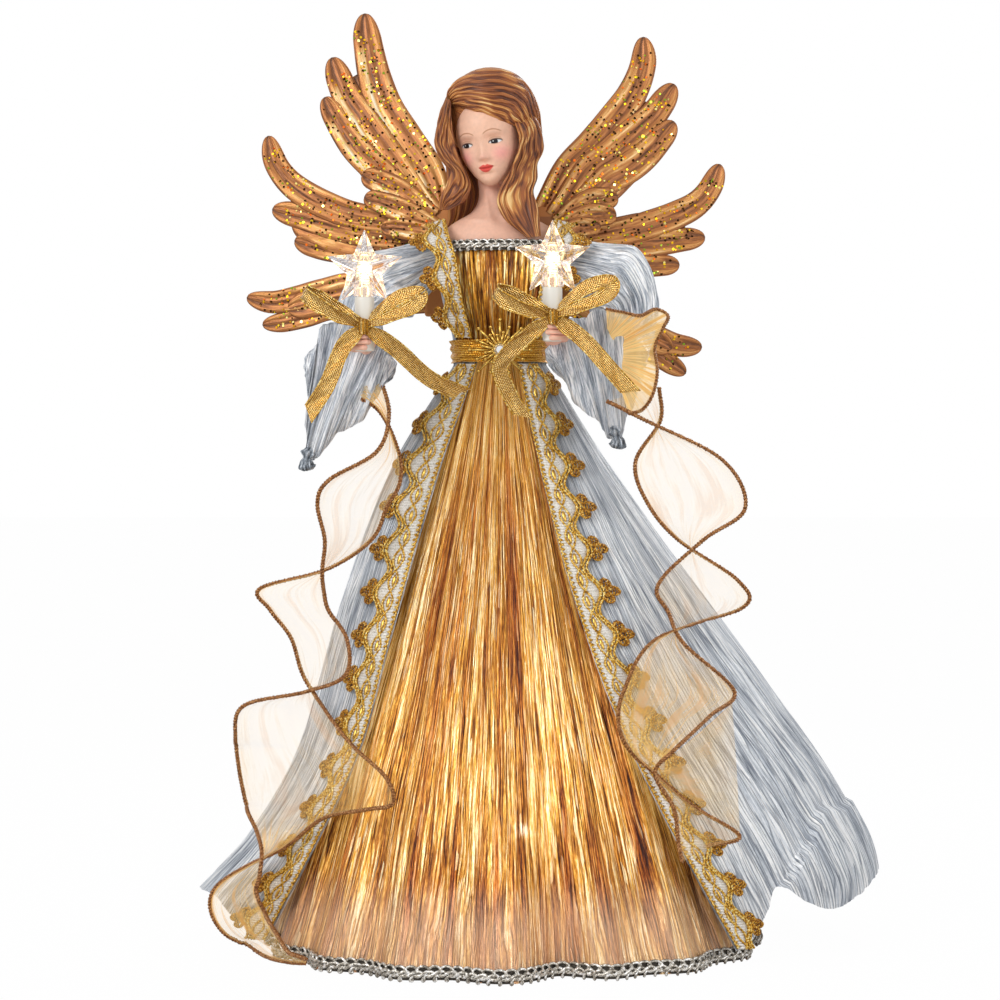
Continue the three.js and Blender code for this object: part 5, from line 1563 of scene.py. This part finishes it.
# %% [markdown]
# The falls follow the two edges of each mass in the picture, with a depth given at every point.

# %% Falls and back
BACK_LOCKS, LOCK_RIBS, LOCK_THICK = 13, 4, 2.6
FALLS = [  # inner and outer edge with depths, thickness, number of broad strands, seed, painted highlight
    ([(451, 101, -13), (451.5, 116, -15), (453, 131, -15), (455.5, 146, -14.5), (461, 161, -14),
      (468, 175, -13), (471, 187, -12), (465, 201, -10), (450, 210, -7)],
     [(446, 97, -8), (441, 112, -3), (437, 128, -2), (435, 143, -1), (440, 158, 0), (448, 170, 0),
      (447, 183, -1), (441, 197, -1), (439, 210, 0)], 3.2, 4, 2.0, 0.5),
    ([(513, 120, -15), (518, 134, -16), (519, 146, -16), (515, 159, -15), (509, 172, -14),
      (500, 189, -14.5), (497, 203, -15.5), (505, 220, -17.5), (527, 238, -18)],
     [(526, 108, -9), (537, 121, -4), (542, 135, -1), (543, 150, 0), (537, 164, -1), (537, 178, -4),
      (533, 192, -7), (538, 209, -10), (541, 236, -14)], 3.6, 5, 5.0, 1.2),
]
for inner, outer, thick, count, seed, bright in FALLS:
    line = between_edges(inner, outer)

    def fall(w, v, line=line):
        px, py, y = line(w, v)
        outwards = Vector((1 if px > PICTURE / 2 else -1, 0, 0))
        return seen_at(px, py, y), Vector((0, -1, 0)).lerp(outwards, 0.35 * w)

    sculpt(fall, thick, count, seed, bright)


def lock_mark(corner, u, v):
    corner[ridge] = 0.44 + 0.34 * math.cos(FULL * LOCK_RIBS * u) + 0.1 * math.sin(9 * v)


def lock_thick(share):
    return LOCK_THICK * (0.35 + 0.65 * step(0, 0.12, share)) * (1 - 0.75 * step(0.72, 1, share))


for k in range(BACK_LOCKS):
    x = lerp(-21, 13, k / (BACK_LOCKS - 1))
    side = abs(2 * k / (BACK_LOCKS - 1) - 1)
    path = through([(x * 0.5 - 2, 8, 373 - 4 * side), (x * 0.78, 17 - 7 * side, 364),
                    (x, 20 - 11 * side, 350), (x - 1, 19 - 10 * side, 336),
                    (x * 0.92, 15 - 8 * side, 325), (x * 1.02, 15 - 5 * side, 314),
                    (x * 1.25 + 1.5, 17 - 2 * side, 298 + 6 * side)])
    line = [path(i / 48) + Vector((1.1 * math.sin(i / 48 * 16 + k), 0, 0)) for i in range(49)]
    roll(bm, line, lock_thick, LOCK_RIBS * 5, ribs=LOCK_RIBS, groove=0.13, mark=lock_mark)
make("sculpted_hair", bm, "gown", hair_paint)

# %% [markdown]
# Each sleeve has a puff from the shoulder to the elbow and a wide bell from there to the wrist.
# Both are tubes of the crushed silver cloth round a bent line: rings are given along the arm, with
# their middle, the way they face and their half sizes, and the cloth runs smoothly through them.
# The puff hangs between body and arm. The bell's mouth is
# pressed flat below the hand, where its front edge folds in, and its lowest corner is bunched.

# %% Sleeves
SHOULDER_Z = 291.35
PINCH = 0.6  # how far the lower half of the bell's mouth is pressed together
TIP_BULGE = [(0, 1.2), (0.3, 3.2), (0.55, 1.9), (0.8, 3.3), (1, 2.2)]
ARMS = {
    # the candle's place and foot; the puff's rings with one half size and the bell's with two, each
    # out from the middle, in depth and down from the shoulder; how far the bell's low corner trails
    "left": {
        "sign": -1, "candle": (55, 250.35),
        "puff": [(27.5, 1, 0, 9), (35, 0, 3.6, 13.4), (48, -3, 10.6, 16), (57, -7.5, 19.5, 12.6),
                 (60, -10, 25, 9.5)],
        "bell": [(60, -10, 24.8, 9.5, 9.5), (60.6, -15.1, 36.7, 11, 12),
                 (61.2, -27, 41.8, 12.5, 15), (61.7, -36, 46.5, 15, 20), (62, -44, 51, 18, 25)],
        "tail": (17, 9),
    },
    "right": {
        "sign": 1, "candle": (21.3, 254.35),
        "puff": [(27.5, 1, 0, 9), (37, 0, 2.6, 14.4), (50, -2, 8.6, 16.5), (56, -7, 18.5, 13),
                 (57, -10, 25, 9.5)],
        "bell": [(57, -10, 24.8, 9.5, 9.5), (51.9, -15.1, 36.7, 11, 12),
                 (46.8, -27, 41.8, 12.5, 15), (43, -36, 44, 16, 18.5), (40, -44, 46, 20, 22)],
        "tail": (8, 8),
    },
}


def sleeve_tube(rings, ways, reference, fall, pinch=0.0):
    """A function of turn, share and stand-off that gives a place on the sleeve."""
    middle, facing = through([ring[0] for ring in rings]), through(ways)
    size = through([(ring[1], ring[2], 0) for ring in rings])

    def place(turn, share, off):
        way = facing(share).normalized()
        side = (reference - way * reference.dot(way)).normalized()
        up = side.cross(way)
        half = size(share)
        spot = (middle(share) + side * math.sin(turn) * (half.x + off)
                + up * math.cos(turn) * (half.y + off))
        below = max(0.0, -math.cos(turn))
        low = below * share * share
        spot.x = lerp(spot.x, middle(share).x, pinch * low)
        return spot + fall * low * below ** 0.4

    return place


def crush(turn, share, seed):
    around = Vector((math.cos(turn), math.sin(turn), 0))
    return (noise.noise(around * 5 + Vector((0, 0, share * 3 + seed)))
            + 0.6 * noise.noise(around * 13 + Vector((0, 0, share * 5 + seed))))


for side, arm in ARMS.items():
    sign = arm["sign"]
    at = lambda out, y, drop: Vector((sign * out, y, SHOULDER_Z - drop))
    rings = [(at(x, y, drop), half, half) for x, y, drop, half in arm["puff"]]
    ways = [(sign, 0, 0), (sign * 1.8, 0, -0.8), (sign * 1.1, -0.2, -1.1), (sign * 0.4, -0.3, -1.2),
            (0, 0, -1)]
    puff = sleeve_tube(rings, ways, Vector((0, sign, 0)), Vector())

    def puff_place(u, v):
        turn = FULL * u
        gather = 0.7 * math.cos(26 * turn + 4 * ripple(u * 6, v, 1.0))
        gather *= hump(v, 0, 0.3) + hump(v, 1, 0.3)
        loose = math.sin(math.pi * min(1, max(0, v))) ** 0.5
        return puff(turn, v, gather - 0.2 + 1.5 * crush(turn, v, sign) * loose)

    hold = ("gown", f"arm_{side}", (sign * 27.5, 0, 289), (sign * 42, 0, 282))
    piece = spread(f"silver_puff_{side}", 200, 60, puff_place, hold, silver_sleeve_cloth,
                   [f"puff_{side}"], closed=True)

    rings = [(at(x, y, drop), wide, tall) for x, y, drop, wide, tall in arm["bell"]]
    ways = [(0, 0, -1), (0, -1, -1), (0, -1, -0.2), (0, -1, 0), (0, -1, 0)]
    out, drop = arm["tail"]
    bell = sleeve_tube(rings, ways, Vector((-1, 0, 0)), Vector((sign * out, 0, -drop)), PINCH)
    bm = bmesh.new()

    def bell_place(u, v):
        turn = FULL * u
        fold = 1.5 * v * v * math.cos(9 * turn + 1.5 * ripple(u * 4, v * 2, 3.0))
        edge = Vector((0, -0.9 * v ** 6 * math.cos(5 * turn + 1), 0))
        return bell(turn, v, fold + lerp(0.5, 1.6, v) * crush(turn, v, 5 + sign)) + edge

    lay(bm, 220, 70, bell_place, closed=True)

    def drape(u, v):
        turn = lerp(0.5 * math.pi, 1.5 * math.pi, u)
        rim = bell_place(turn / FULL, 1.0)
        facing_rim = bell_place(((math.pi - turn) / FULL) % 1.0, 1.0)
        bulge = 4.0 * math.sin(math.pi * v) ** 0.7 * math.sin(math.pi * u) ** 0.5
        pleat = (0.9 * math.cos(19 * math.pi * u + 2.5 * ripple(u * 5, v * 2, 2.0))
                 + 1.3 * crush(4 * u, v, 8.0))
        return rim.lerp(facing_rim, v) + ahead(-bulge - pleat * math.sin(math.pi * v) ** 0.5)

    lay(bm, 120, 40, drape)
    piece = make(f"silver_bell_{side}", bm, f"arm_{side}", silver_sleeve_cloth,
                 [f"bell_{side}"], out=False)

    bm = bmesh.new()
    corner = bell(math.pi, 1.0, 0.5)
    line = through([corner + Vector((sign * x, y, z)) for x, y, z in
                    ((-1.5, 1, 6), (0, 0.4, 2), (0.6, 0.6, -1), (0.2, 1, -3.5))])
    roll(bm, [line(i / 20) for i in range(21)],
         lambda share: curve(TIP_BULGE, share) * (1 + 0.1 * math.sin(share * 23)),
         56, ribs=9, groove=0.14)
    # The bunched tip is the silver lamé painted dark, as painted shade.
    make(f"sleeve_tip_{side}", bm, f"arm_{side}", shaded_silver_tip_cloth)

# %% [markdown]
# Each hand closes round a candle sleeve: four fingers and a thumb, which are bent cords with round
# ends, a palm, and a wrist that goes back into the sleeve. They are painted like the face.

# %% Hands
CANDLE_Y = -62
FINGERS = [0, 12, 4, 20]  # by how many degrees each ends short of the longest
FINGER_BEND, THUMB_BEND = 5.55, 5.9  # radii about the candle's axis


def finger_thick(share):
    return 1.35 * (1 - 0.22 * step(0.3, 1, share)) * (1 + 0.07 * math.cos(share * 19))


for side, arm in ARMS.items():
    sign = arm["sign"]
    out, foot = arm["candle"]
    grip = Vector((sign * out, CANDLE_Y, foot + 4.6))
    bm = bmesh.new()
    tint = bm.verts.layers.float_color.new("tint")
    for k, short in enumerate(FINGERS):
        level = grip + Vector((0, 0, 3.5 - 2.3 * k))
        line = []
        for i in range(15):
            turn = math.pi / 2 - sign * math.radians(lerp(-10, 205 - short, i / 14))
            line.append(level + Vector((math.cos(turn), math.sin(turn), 0)) * FINGER_BEND)
        roll(bm, line, finger_thick, 12)
        pebble(bm, line[-1], (1.05, 1.05, 1.05), finest=3)
    line = []
    for i in range(11):
        turn = math.pi / 2 + sign * math.radians(lerp(0, 118, i / 10))
        line.append(grip + Vector((THUMB_BEND * math.cos(turn), THUMB_BEND * math.sin(turn),
                                   lerp(0, 3.4, i / 10))))
    roll(bm, line, lambda share: 1.75 * (1 - 0.3 * step(0.4, 1, share)), 12)
    pebble(bm, line[-1], (1.25, 1.25, 1.25), finest=3)
    pebble(bm, grip + Vector((0, 7.2, 0)), (4.6, 2.8, 4.7), finest=4)
    wrist = through([grip + Vector((sign * x, y, z)) for x, y, z in
                     ((0, 7, 0), (0.4, 13, -0.6), (1.5, 22, -2))])
    roll(bm, [wrist(i / 12) for i in range(13)],
         lambda share: lerp(3.7, 4.4, abs(2 * share - 0.8)), 20)
    for corner in bm.verts:
        corner[tint] = (*SKIN.lerp(BLUSH, 0.2 + 0.15 * math.sin(corner.co.z * 2.7)), 1)
    make(f"painted_hand_{side}", bm, f"arm_{side}", skin_paint, [f"hand_{side}"])

# %% [markdown]
# A candle is a white plastic sleeve with a lamp in its end, and the lamp wears a clear star. Sleeve
# and lamp are turned shapes: a profile of radius and height carried round an axis. The star has
# ten corners and two middles, joined by flat faces and bevelled, so light bends and flashes in its
# facets, and a bore up its middle takes the lamp. In the lamp a coiled filament glows.

# %% Candles, lamps and stars
STAR_POINT, STAR_NOTCH = 16.0, 7.4  # radii of the star's outer and inner corners
STAR_EDGE, STAR_MIDDLE = 0.8, 5.6  # half its thickness at the corners and in the middle
CANDLE = [(0, 0.1), (3.5, 0.1), (3.9, 0.3), (4, 0.8), (4, 20.6), (3.95, 21.5), (3.7, 22),
          (3.1, 22.1), (2.85, 21.8), (2.8, 21), (2.8, 14.1), (0, 14.1)]
BULB = [(0, 14.4), (2.2, 14.4), (2.4, 14.8), (2.4, 27), (2.3, 31), (2.0, 34), (1.5, 36.6),
        (0.8, 38.4), (0, 39)]
STAR_BORE = [(2.75, 22.4), (2.75, 38.5), (1.9, 39.6), (0, 40)]
STAR_COLLAR = [(4.5, 22.4), (4.6, 22.6), (4.6, 27.6), (4.3, 28), (2.9, 28), (2.75, 27.8),
               (2.75, 22.6), (2.9, 22.4), (4.5, 22.4)]


def turned(bm, foot, profile, sides):
    last = len(profile) - 1
    lay(bm, sides, last, lambda u, v: foot + polar(FULL * u, *profile[round(v * last)]),
        closed=True)


def star_solid(bm, middle):
    corners = []
    for i in range(10):
        turn = math.pi * i / 5
        out = Vector((math.sin(turn), 0, math.cos(turn)))
        corners.append(middle + out * (STAR_NOTCH if i % 2 else STAR_POINT))
    ring = [[bm.verts.new(c + ahead(y)) for c in corners] for y in (-STAR_EDGE, STAR_EDGE)]
    tops = [bm.verts.new(middle + ahead(y)) for y in (-STAR_MIDDLE, STAR_MIDDLE)]
    faces = []
    for i in range(10):
        k = (i + 1) % 10
        faces.append(bm.faces.new((ring[0][i], ring[0][k], tops[0])))
        faces.append(bm.faces.new((ring[1][k], ring[1][i], tops[1])))
        faces.append(bm.faces.new((ring[0][k], ring[0][i], ring[1][i], ring[1][k])))
    bmesh.ops.recalc_face_normals(bm, faces=faces)
    edges = once(e for f in faces for e in f.edges)
    bmesh.ops.bevel(bm, geom=edges, offset=0.28, affect="EDGES", segments=2, profile=0.5,
                    material=-1)


for side, arm in ARMS.items():
    out, height = arm["candle"]
    foot = Vector((arm["sign"] * out, CANDLE_Y, height))
    bm = bmesh.new()
    turned(bm, foot, CANDLE, 48)
    make(f"candle_sleeve_{side}", bm, f"arm_{side}", sleeve_plastic,
         [f"candle_{side}"])
    bm = bmesh.new()
    turned(bm, foot, BULB, 32)
    make(f"star_lamp_{side}", bm, f"lamp_{side}", bulb_glass, [f"star_bulb_{side}"])
    bm = bmesh.new()
    coil = [foot + polar(FULL * i / 9, 0.9, 27.5 + 8.5 * i / 72) for i in range(73)]
    roll(bm, coil, 0.3, 6)
    for x in (-0.8, 0.8):
        roll(bm, [foot + Vector((x, 0, 15)), foot + Vector((x, 0, 28))], 0.18, 6)
    make(f"lamp_filament_{side}", bm, f"lamp_{side}", filament)
    bm = bmesh.new()
    star_solid(bm, foot + Vector((0, 0, 33.5)))
    turned(bm, foot, STAR_BORE, 24)
    turned(bm, foot, STAR_COLLAR, 32)
    make(f"clear_star_{side}", bm, f"cover_{side}", clear_acrylic, [f"star_{side}"],
         out=False, flat=True)

# %% [markdown]
# The bows are tied from woven ribbon, six millimetres wide: two loops, two tails cut at a slant
# and a knot. A ribbon is a narrow grid along a line, with its width held square to the line, and a
# thin cord sewn along each edge keeps its shape.

# %% Bows
RIBBON_WIDE = 6.3
LOOP = [  # share of the loop's reach, depth and lift of the ribbon at each point round it
    (0.05, -0.8, 0), (0.3, -3.2, -1.2), (0.62, -5, -2.4), (0.9, -4.4, -2.2), (1.02, -2.2, 0.4),
    (0.94, 0.2, 2.6), (0.62, 1.2, 3.4), (0.3, 0.8, 1.8), (0.06, 0.4, 0),
]
KNOT = [(-2.6, 0), (-2.1, -0.6), (-1, -1), (0, -1.2), (1, -1), (2.1, -0.6), (2.6, 0)]  # z and y
BOWS = {  # the ends of the loops, as x and z from the knot, and the lines of the tails
    "left": ([(-22.5, 12.4), (22.7, 12.4)],
             [[(-8, -1.5, -8), (-15, -1, -24), (-23.6, 0, -37)],
              [(12, 4, -8), (26, 16, -20), (41, 27, -26.5)]]),
    "right": ([(-22, 9), (23.7, 13)],
              [[(-10, 3, -7), (-21, 12, -19), (-17, 17, -31), (-10, 20, -42)],
               [(12, -1.5, -9), (23, -1, -21), (33, 0, -32)]]),
}


def ribbon(bm, edges, points, wide, rows, slant=0.0):
    line = through(points)

    def place(u, v):
        share = min(1, max(0, v - slant * (1 - u) * v ** 4))
        way = line(min(1, share + 0.01)) - line(max(0, share - 0.01))
        across = (wide - way * wide.dot(way) / way.length_squared).normalized()
        facing = way.cross(across).normalized()
        wave = (0.7 * (2 * u - 1) ** 2 + 0.45 * math.sin(11 * v + 4 * u)
                + 0.25 * math.sin(31 * v + 9 * u))
        narrow = lerp(0.45, 1, step(0, 0.16, v))
        return line(share) + across * RIBBON_WIDE * narrow * (u - 0.5) + facing * wave * narrow

    lay(bm, 10, rows, place)
    for u in (0.01, 0.99):
        roll(edges, [place(u, i / rows) for i in range(rows + 1)], 0.3, 5)


for side, (loops, tails) in BOWS.items():
    out, foot = ARMS[side]["candle"]
    knot = Vector((ARMS[side]["sign"] * out, -68.5, foot + 9.5))
    bm, edges = bmesh.new(), bmesh.new()
    for x, z in loops:
        points = [knot + Vector((x * share - z * lift / 14, y, z * share + abs(x) * lift / 25))
                  for share, y, lift in LOOP]
        across = Vector((-z, 0.75 * math.hypot(x, z), x)).normalized()
        ribbon(bm, edges, points, across, 70)
    for tail in tails:
        points = [knot + Vector(p) for p in [(0, -0.8, 0), *tail]]
        way = points[-1] - points[0]
        ribbon(bm, edges, points, Vector((-way.z, 0, way.x)).normalized(), 54, 0.1)
    piece = make(f"gold_bow_{side}", bm, f"arm_{side}", bow_ribbon, [f"bow_{side}"],
                 out=False)
    cords = make(f"bow_edges_{side}", edges, f"arm_{side}", gold_thread)
    bm = bmesh.new()
    roll(bm, [knot + Vector((0, y, z)) for z, y in KNOT],
         lambda share: 2.5 * math.sqrt(max(0.05, 1 - (2 * share - 1) ** 4)), 40, ribs=8,
         groove=0.08)
    tie = make(f"bow_knot_{side}", bm, f"arm_{side}", bow_ribbon)

# %% [markdown]
# A sheer organza scarf hangs from each cuff and trails over the coat. Copper cord is sewn along
# both edges and makes them stand in waves, so the strip turns over and over. Its two edges are
# given at matching places, and where they cross, one swings forward, which is what turns the strip.
# A corner of the right one lies folded over, which is a small sheet of its own under the strip.

# %% Scarves
SCARVES = {
    "left": [
        (-48.8, 239.2, -63.6, 234.3), (-45.5, 224.9, -50, 226.9), (-50.4, 209.7, -41.8, 209.7),
        (-69.7, 198.2, -41.4, 197), (-74.6, 188.8, -46.7, 187.5), (-71.8, 173.6, -53.3, 173.6),
        (-73, 161.3, -71.8, 161.3), (-72.6, 152.3, -100, 153.1), (-70.5, 144.1, -95.9, 144.1),
        (-62.7, 132.6, -87.3, 132.6), (-63.1, 118.7, -83.2, 119.5), (-79.1, 111.3, -79.5, 112.1),
        (-105.8, 105.1, -73.8, 104.7), (-109.9, 90.8, -61.5, 90.8), (-109, 78.5, -45.9, 78.5),
        (-107, 67.8, -43, 68.6), (-105.4, 62.1, -54.5, 65.4), (-101.3, 55.5, -71.8, 60.4),
        (-97.6, 47.3, -88.2, 47.3), (-98, 37.5, -105.8, 37.5), (-99.6, 30.1, -118.9, 28),
        (-95.9, 21.5, -120.5, 17.8), (-90.2, 15.8, -112.8, 7.5), (-84.5, 10.4, -97.6, 4),
        (-80, 9.6, -86, 4), (-76.5, 9, -77.5, 5),
    ],
    "right": [
        (43.5, 230.2, 65.6, 236.3), (58, 223, 66, 222.6), (91, 206.4, 55.8, 205.6),
        (100.5, 186.7, 60.7, 189.2), (83.2, 173.6, 73.8, 173.6), (64.8, 155.2, 99.2, 156.4),
        (68.9, 144.1, 100.9, 144.9), (74.6, 131.8, 63.6, 132.6), (96.4, 111.3, 50.4, 112.5),
        (85.3, 102.3, 48, 99), (69.7, 89.6, 52.5, 88.7), (61.9, 80.9, 62.7, 79.3),
        (69.3, 67, 77.9, 66.2), (70.9, 54.7, 97.6, 53.1), (72.2, 46.5, 84, 49.8),
    ],
}
SCARF_WIDE, OFF_COAT, CUFF_Y, FLOOR_GAP = 52, 8.3, -44.75, 3.2
ROWS_EACH = 14  # rows of cloth between two places of the tables
FOLD_BACK = [Vector((96, 106)), Vector((62, 80)), Vector((98, 53))]  # a corner that is folded over
FOLD_SHARE = 0.16  # of the whole strip's UV map


def scarf_depth(x, z):
    """In front of the coat and its lace below, and in line with the bell's mouth above."""
    right, left = coat_edges(z)
    y = -abs(x)
    for _ in range(10):
        angle = math.atan2(x, -y) % FULL
        across = min(1, max(0, (angle - right) / (left - right)))
        radius = coat_radius(angle, z, across) + OFF_COAT
        y = lerp(y, -math.sqrt(max(900.0, radius * radius - x * x)), 0.6)
    return lerp(y, CUFF_Y, step(140, 212, z))


def on_coat(spot, nearer=0.0):
    return Vector((spot.x, scarf_depth(spot.x, spot.y) - nearer, spot.y))


def hang_scarf(side, rows):
    table = SCARVES[side]
    top = len(table) - 1
    edge_a = levels(*[(i, *row[:2]) for i, row in enumerate(table)])
    edge_b = levels(*[(i, *row[2:]) for i, row in enumerate(table)])
    lines = []
    for i in range(rows + 1):
        place = top * i / rows
        a, b = curve(edge_a, place), curve(edge_b, place)
        a.y, b.y = max(FLOOR_GAP, a.y), max(FLOOR_GAP, b.y)
        swing = 16 * root(1 - ((a - b).length / SCARF_WIDE) ** 2) * min(1, place / 3)
        if side == "right":
            swing += 15 * step(2.2, 0, place)
        lines.append((on_coat(a, swing), on_coat(b)))
    return lines


for side in SCARVES:
    rows = ROWS_EACH * (len(SCARVES[side]) - 1)
    lines = hang_scarf(side, rows)
    bm, cords = bmesh.new(), bmesh.new()
    dense = bm.verts.layers.float.new("dense")

    def scarf_place(u, v):
        a, b = lines[round(v * rows)]
        spot = a.lerp(b, u)
        inside = math.sin(math.pi * u)
        wave = 2.2 * ripple(u * 3, v * 30, 1.0) + 0.9 * math.sin(7 * math.pi * u + v * 25)
        depth = min(spot.y, lerp(spot.y, scarf_depth(spot.x, spot.z), inside))
        return Vector((spot.x, depth - abs(inside * wave), spot.z))

    def scarf_mark(corner, u, v):
        a, b = lines[round(v * rows)]
        double = step(0.62, 0.72, v) if side == "left" else step(0.5, 0.56, v) * step(0.78, 0.7, v)
        drawn = min(0.85, max(0.17, 5 / max(1.0, (a - b).length)))
        corner[dense] = drawn + 0.12 * hump(min(u, 1 - u), 0, 0.1) + 0.15 * double

    def fold_place(u, v):
        spot = FOLD_BACK[0].lerp(FOLD_BACK[2], u).lerp(FOLD_BACK[1], v * 0.96)
        return on_coat(spot, -1.2 - 0.5 * math.sin(9 * u + 4 * v))

    def fold_mark(corner, u, v):
        corner[dense] = 0.27 + 0.08 * v

    lay(bm, 30, rows, scarf_place, mark=scarf_mark)
    if side == "right":
        folded = lay(bm, 24, 24, fold_place, mark=fold_mark)
        uv = bm.loops.layers.uv.verify()
        for loop in [loop for corner in folded for loop in corner.link_loops]:
            loop[uv].uv *= FOLD_SHARE
    hold = ("gown", f"arm_{side}", (0, 0, 118), (0, 0, 232))
    piece = make(f"organza_scarf_{side}", bm, hold, organza, [f"scarf_{side}"],
                 out=False)
    fine = hang_scarf(side, 3 * rows)
    for end in (0, 1):
        twist(cords, [pair[end] for pair in fine], 0.9, 2.6)
    edging = make(f"scarf_cord_{side}", cords, hold, copper_thread)
    length = sum(paces([pair[end] for pair in lines])[-1] for end in (0, 1)) / 2
    print("scarf", side, round(length), "mm long")

# %% [markdown]
# At the right cuff the organza is gathered into a tuft: a fan of folds that opens outwards from the
# wrist, with the same cord along its rim.

# %% Tuft
TUFT_ROOT = [Vector((44, -46, 259)), Vector((47, -46.5, 243))]
TUFT_RIM = [(606, 309, -48), (622, 312, -52), (640, 316, -46), (656, 309, -42), (668, 316, -40),
            (662, 330, -44), (655, 346, -46), (657, 372, -49), (652, 396, -53), (642, 410, -55),
            (628, 414, -57)]  # pixels of the picture, and depths
tuft_rim = through([seen_at(*spot) for spot in TUFT_RIM])
bm, cords = bmesh.new(), bmesh.new()
dense = bm.verts.layers.float.new("dense")


def tuft_place(u, v):
    fold = 2.2 * math.sin(u * 24 + 2 * ripple(u * 4, v, 3.0)) * v
    spot = TUFT_ROOT[0].lerp(TUFT_ROOT[1], u).lerp(tuft_rim(u), v ** 0.8)
    return spot + ahead(fold - 4 * math.sin(math.pi * v))


def tuft_mark(corner, u, v):
    corner[dense] = lerp(1.0, 0.6, v)


lay(bm, 120, 24, tuft_place, mark=tuft_mark)
tuft = make("cuff_tuft", bm, "arm_right", gathered_organza, out=False)
twist(cords, [tuft_place(i / 300, 1.0) for i in range(301)], 0.8, 2.6)
tuft_cord = make("cuff_tuft_cord", cords, "arm_right", copper_thread)

# %% [markdown]
# What holds it all up and lights it keeps the shape of its solids: the card cone and body form, the
# sockets, lamps and wire under the skirt, the cores of the arms, and the bracket and screws of the
# wings. These only need their materials.

# %% Fittings
FITTINGS = [
    (cone_card, ["base_cone", "torso_core"]),
    (bracket_paint, ["wing_bracket"]),
    (sleeve_plastic, [f"lamp_socket_{k}" for k in range(1, 9)]),
    (lamp_glass, [f"lamp_bulb_{k}" for k in range(1, 9)]),
    (wire_sheath, ["lamp_wire", "arm_core_left", "arm_core_right"]),
    (screw_steel, ["wing_screw_left", "wing_screw_right"]),
]
for finish, names in FITTINGS:
    for name in names:
        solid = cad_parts[name]
        solid.data.materials.clear()
        solid.data.materials.append(finish)
print("fittings:", sum(len(names) for finish, names in FITTINGS))
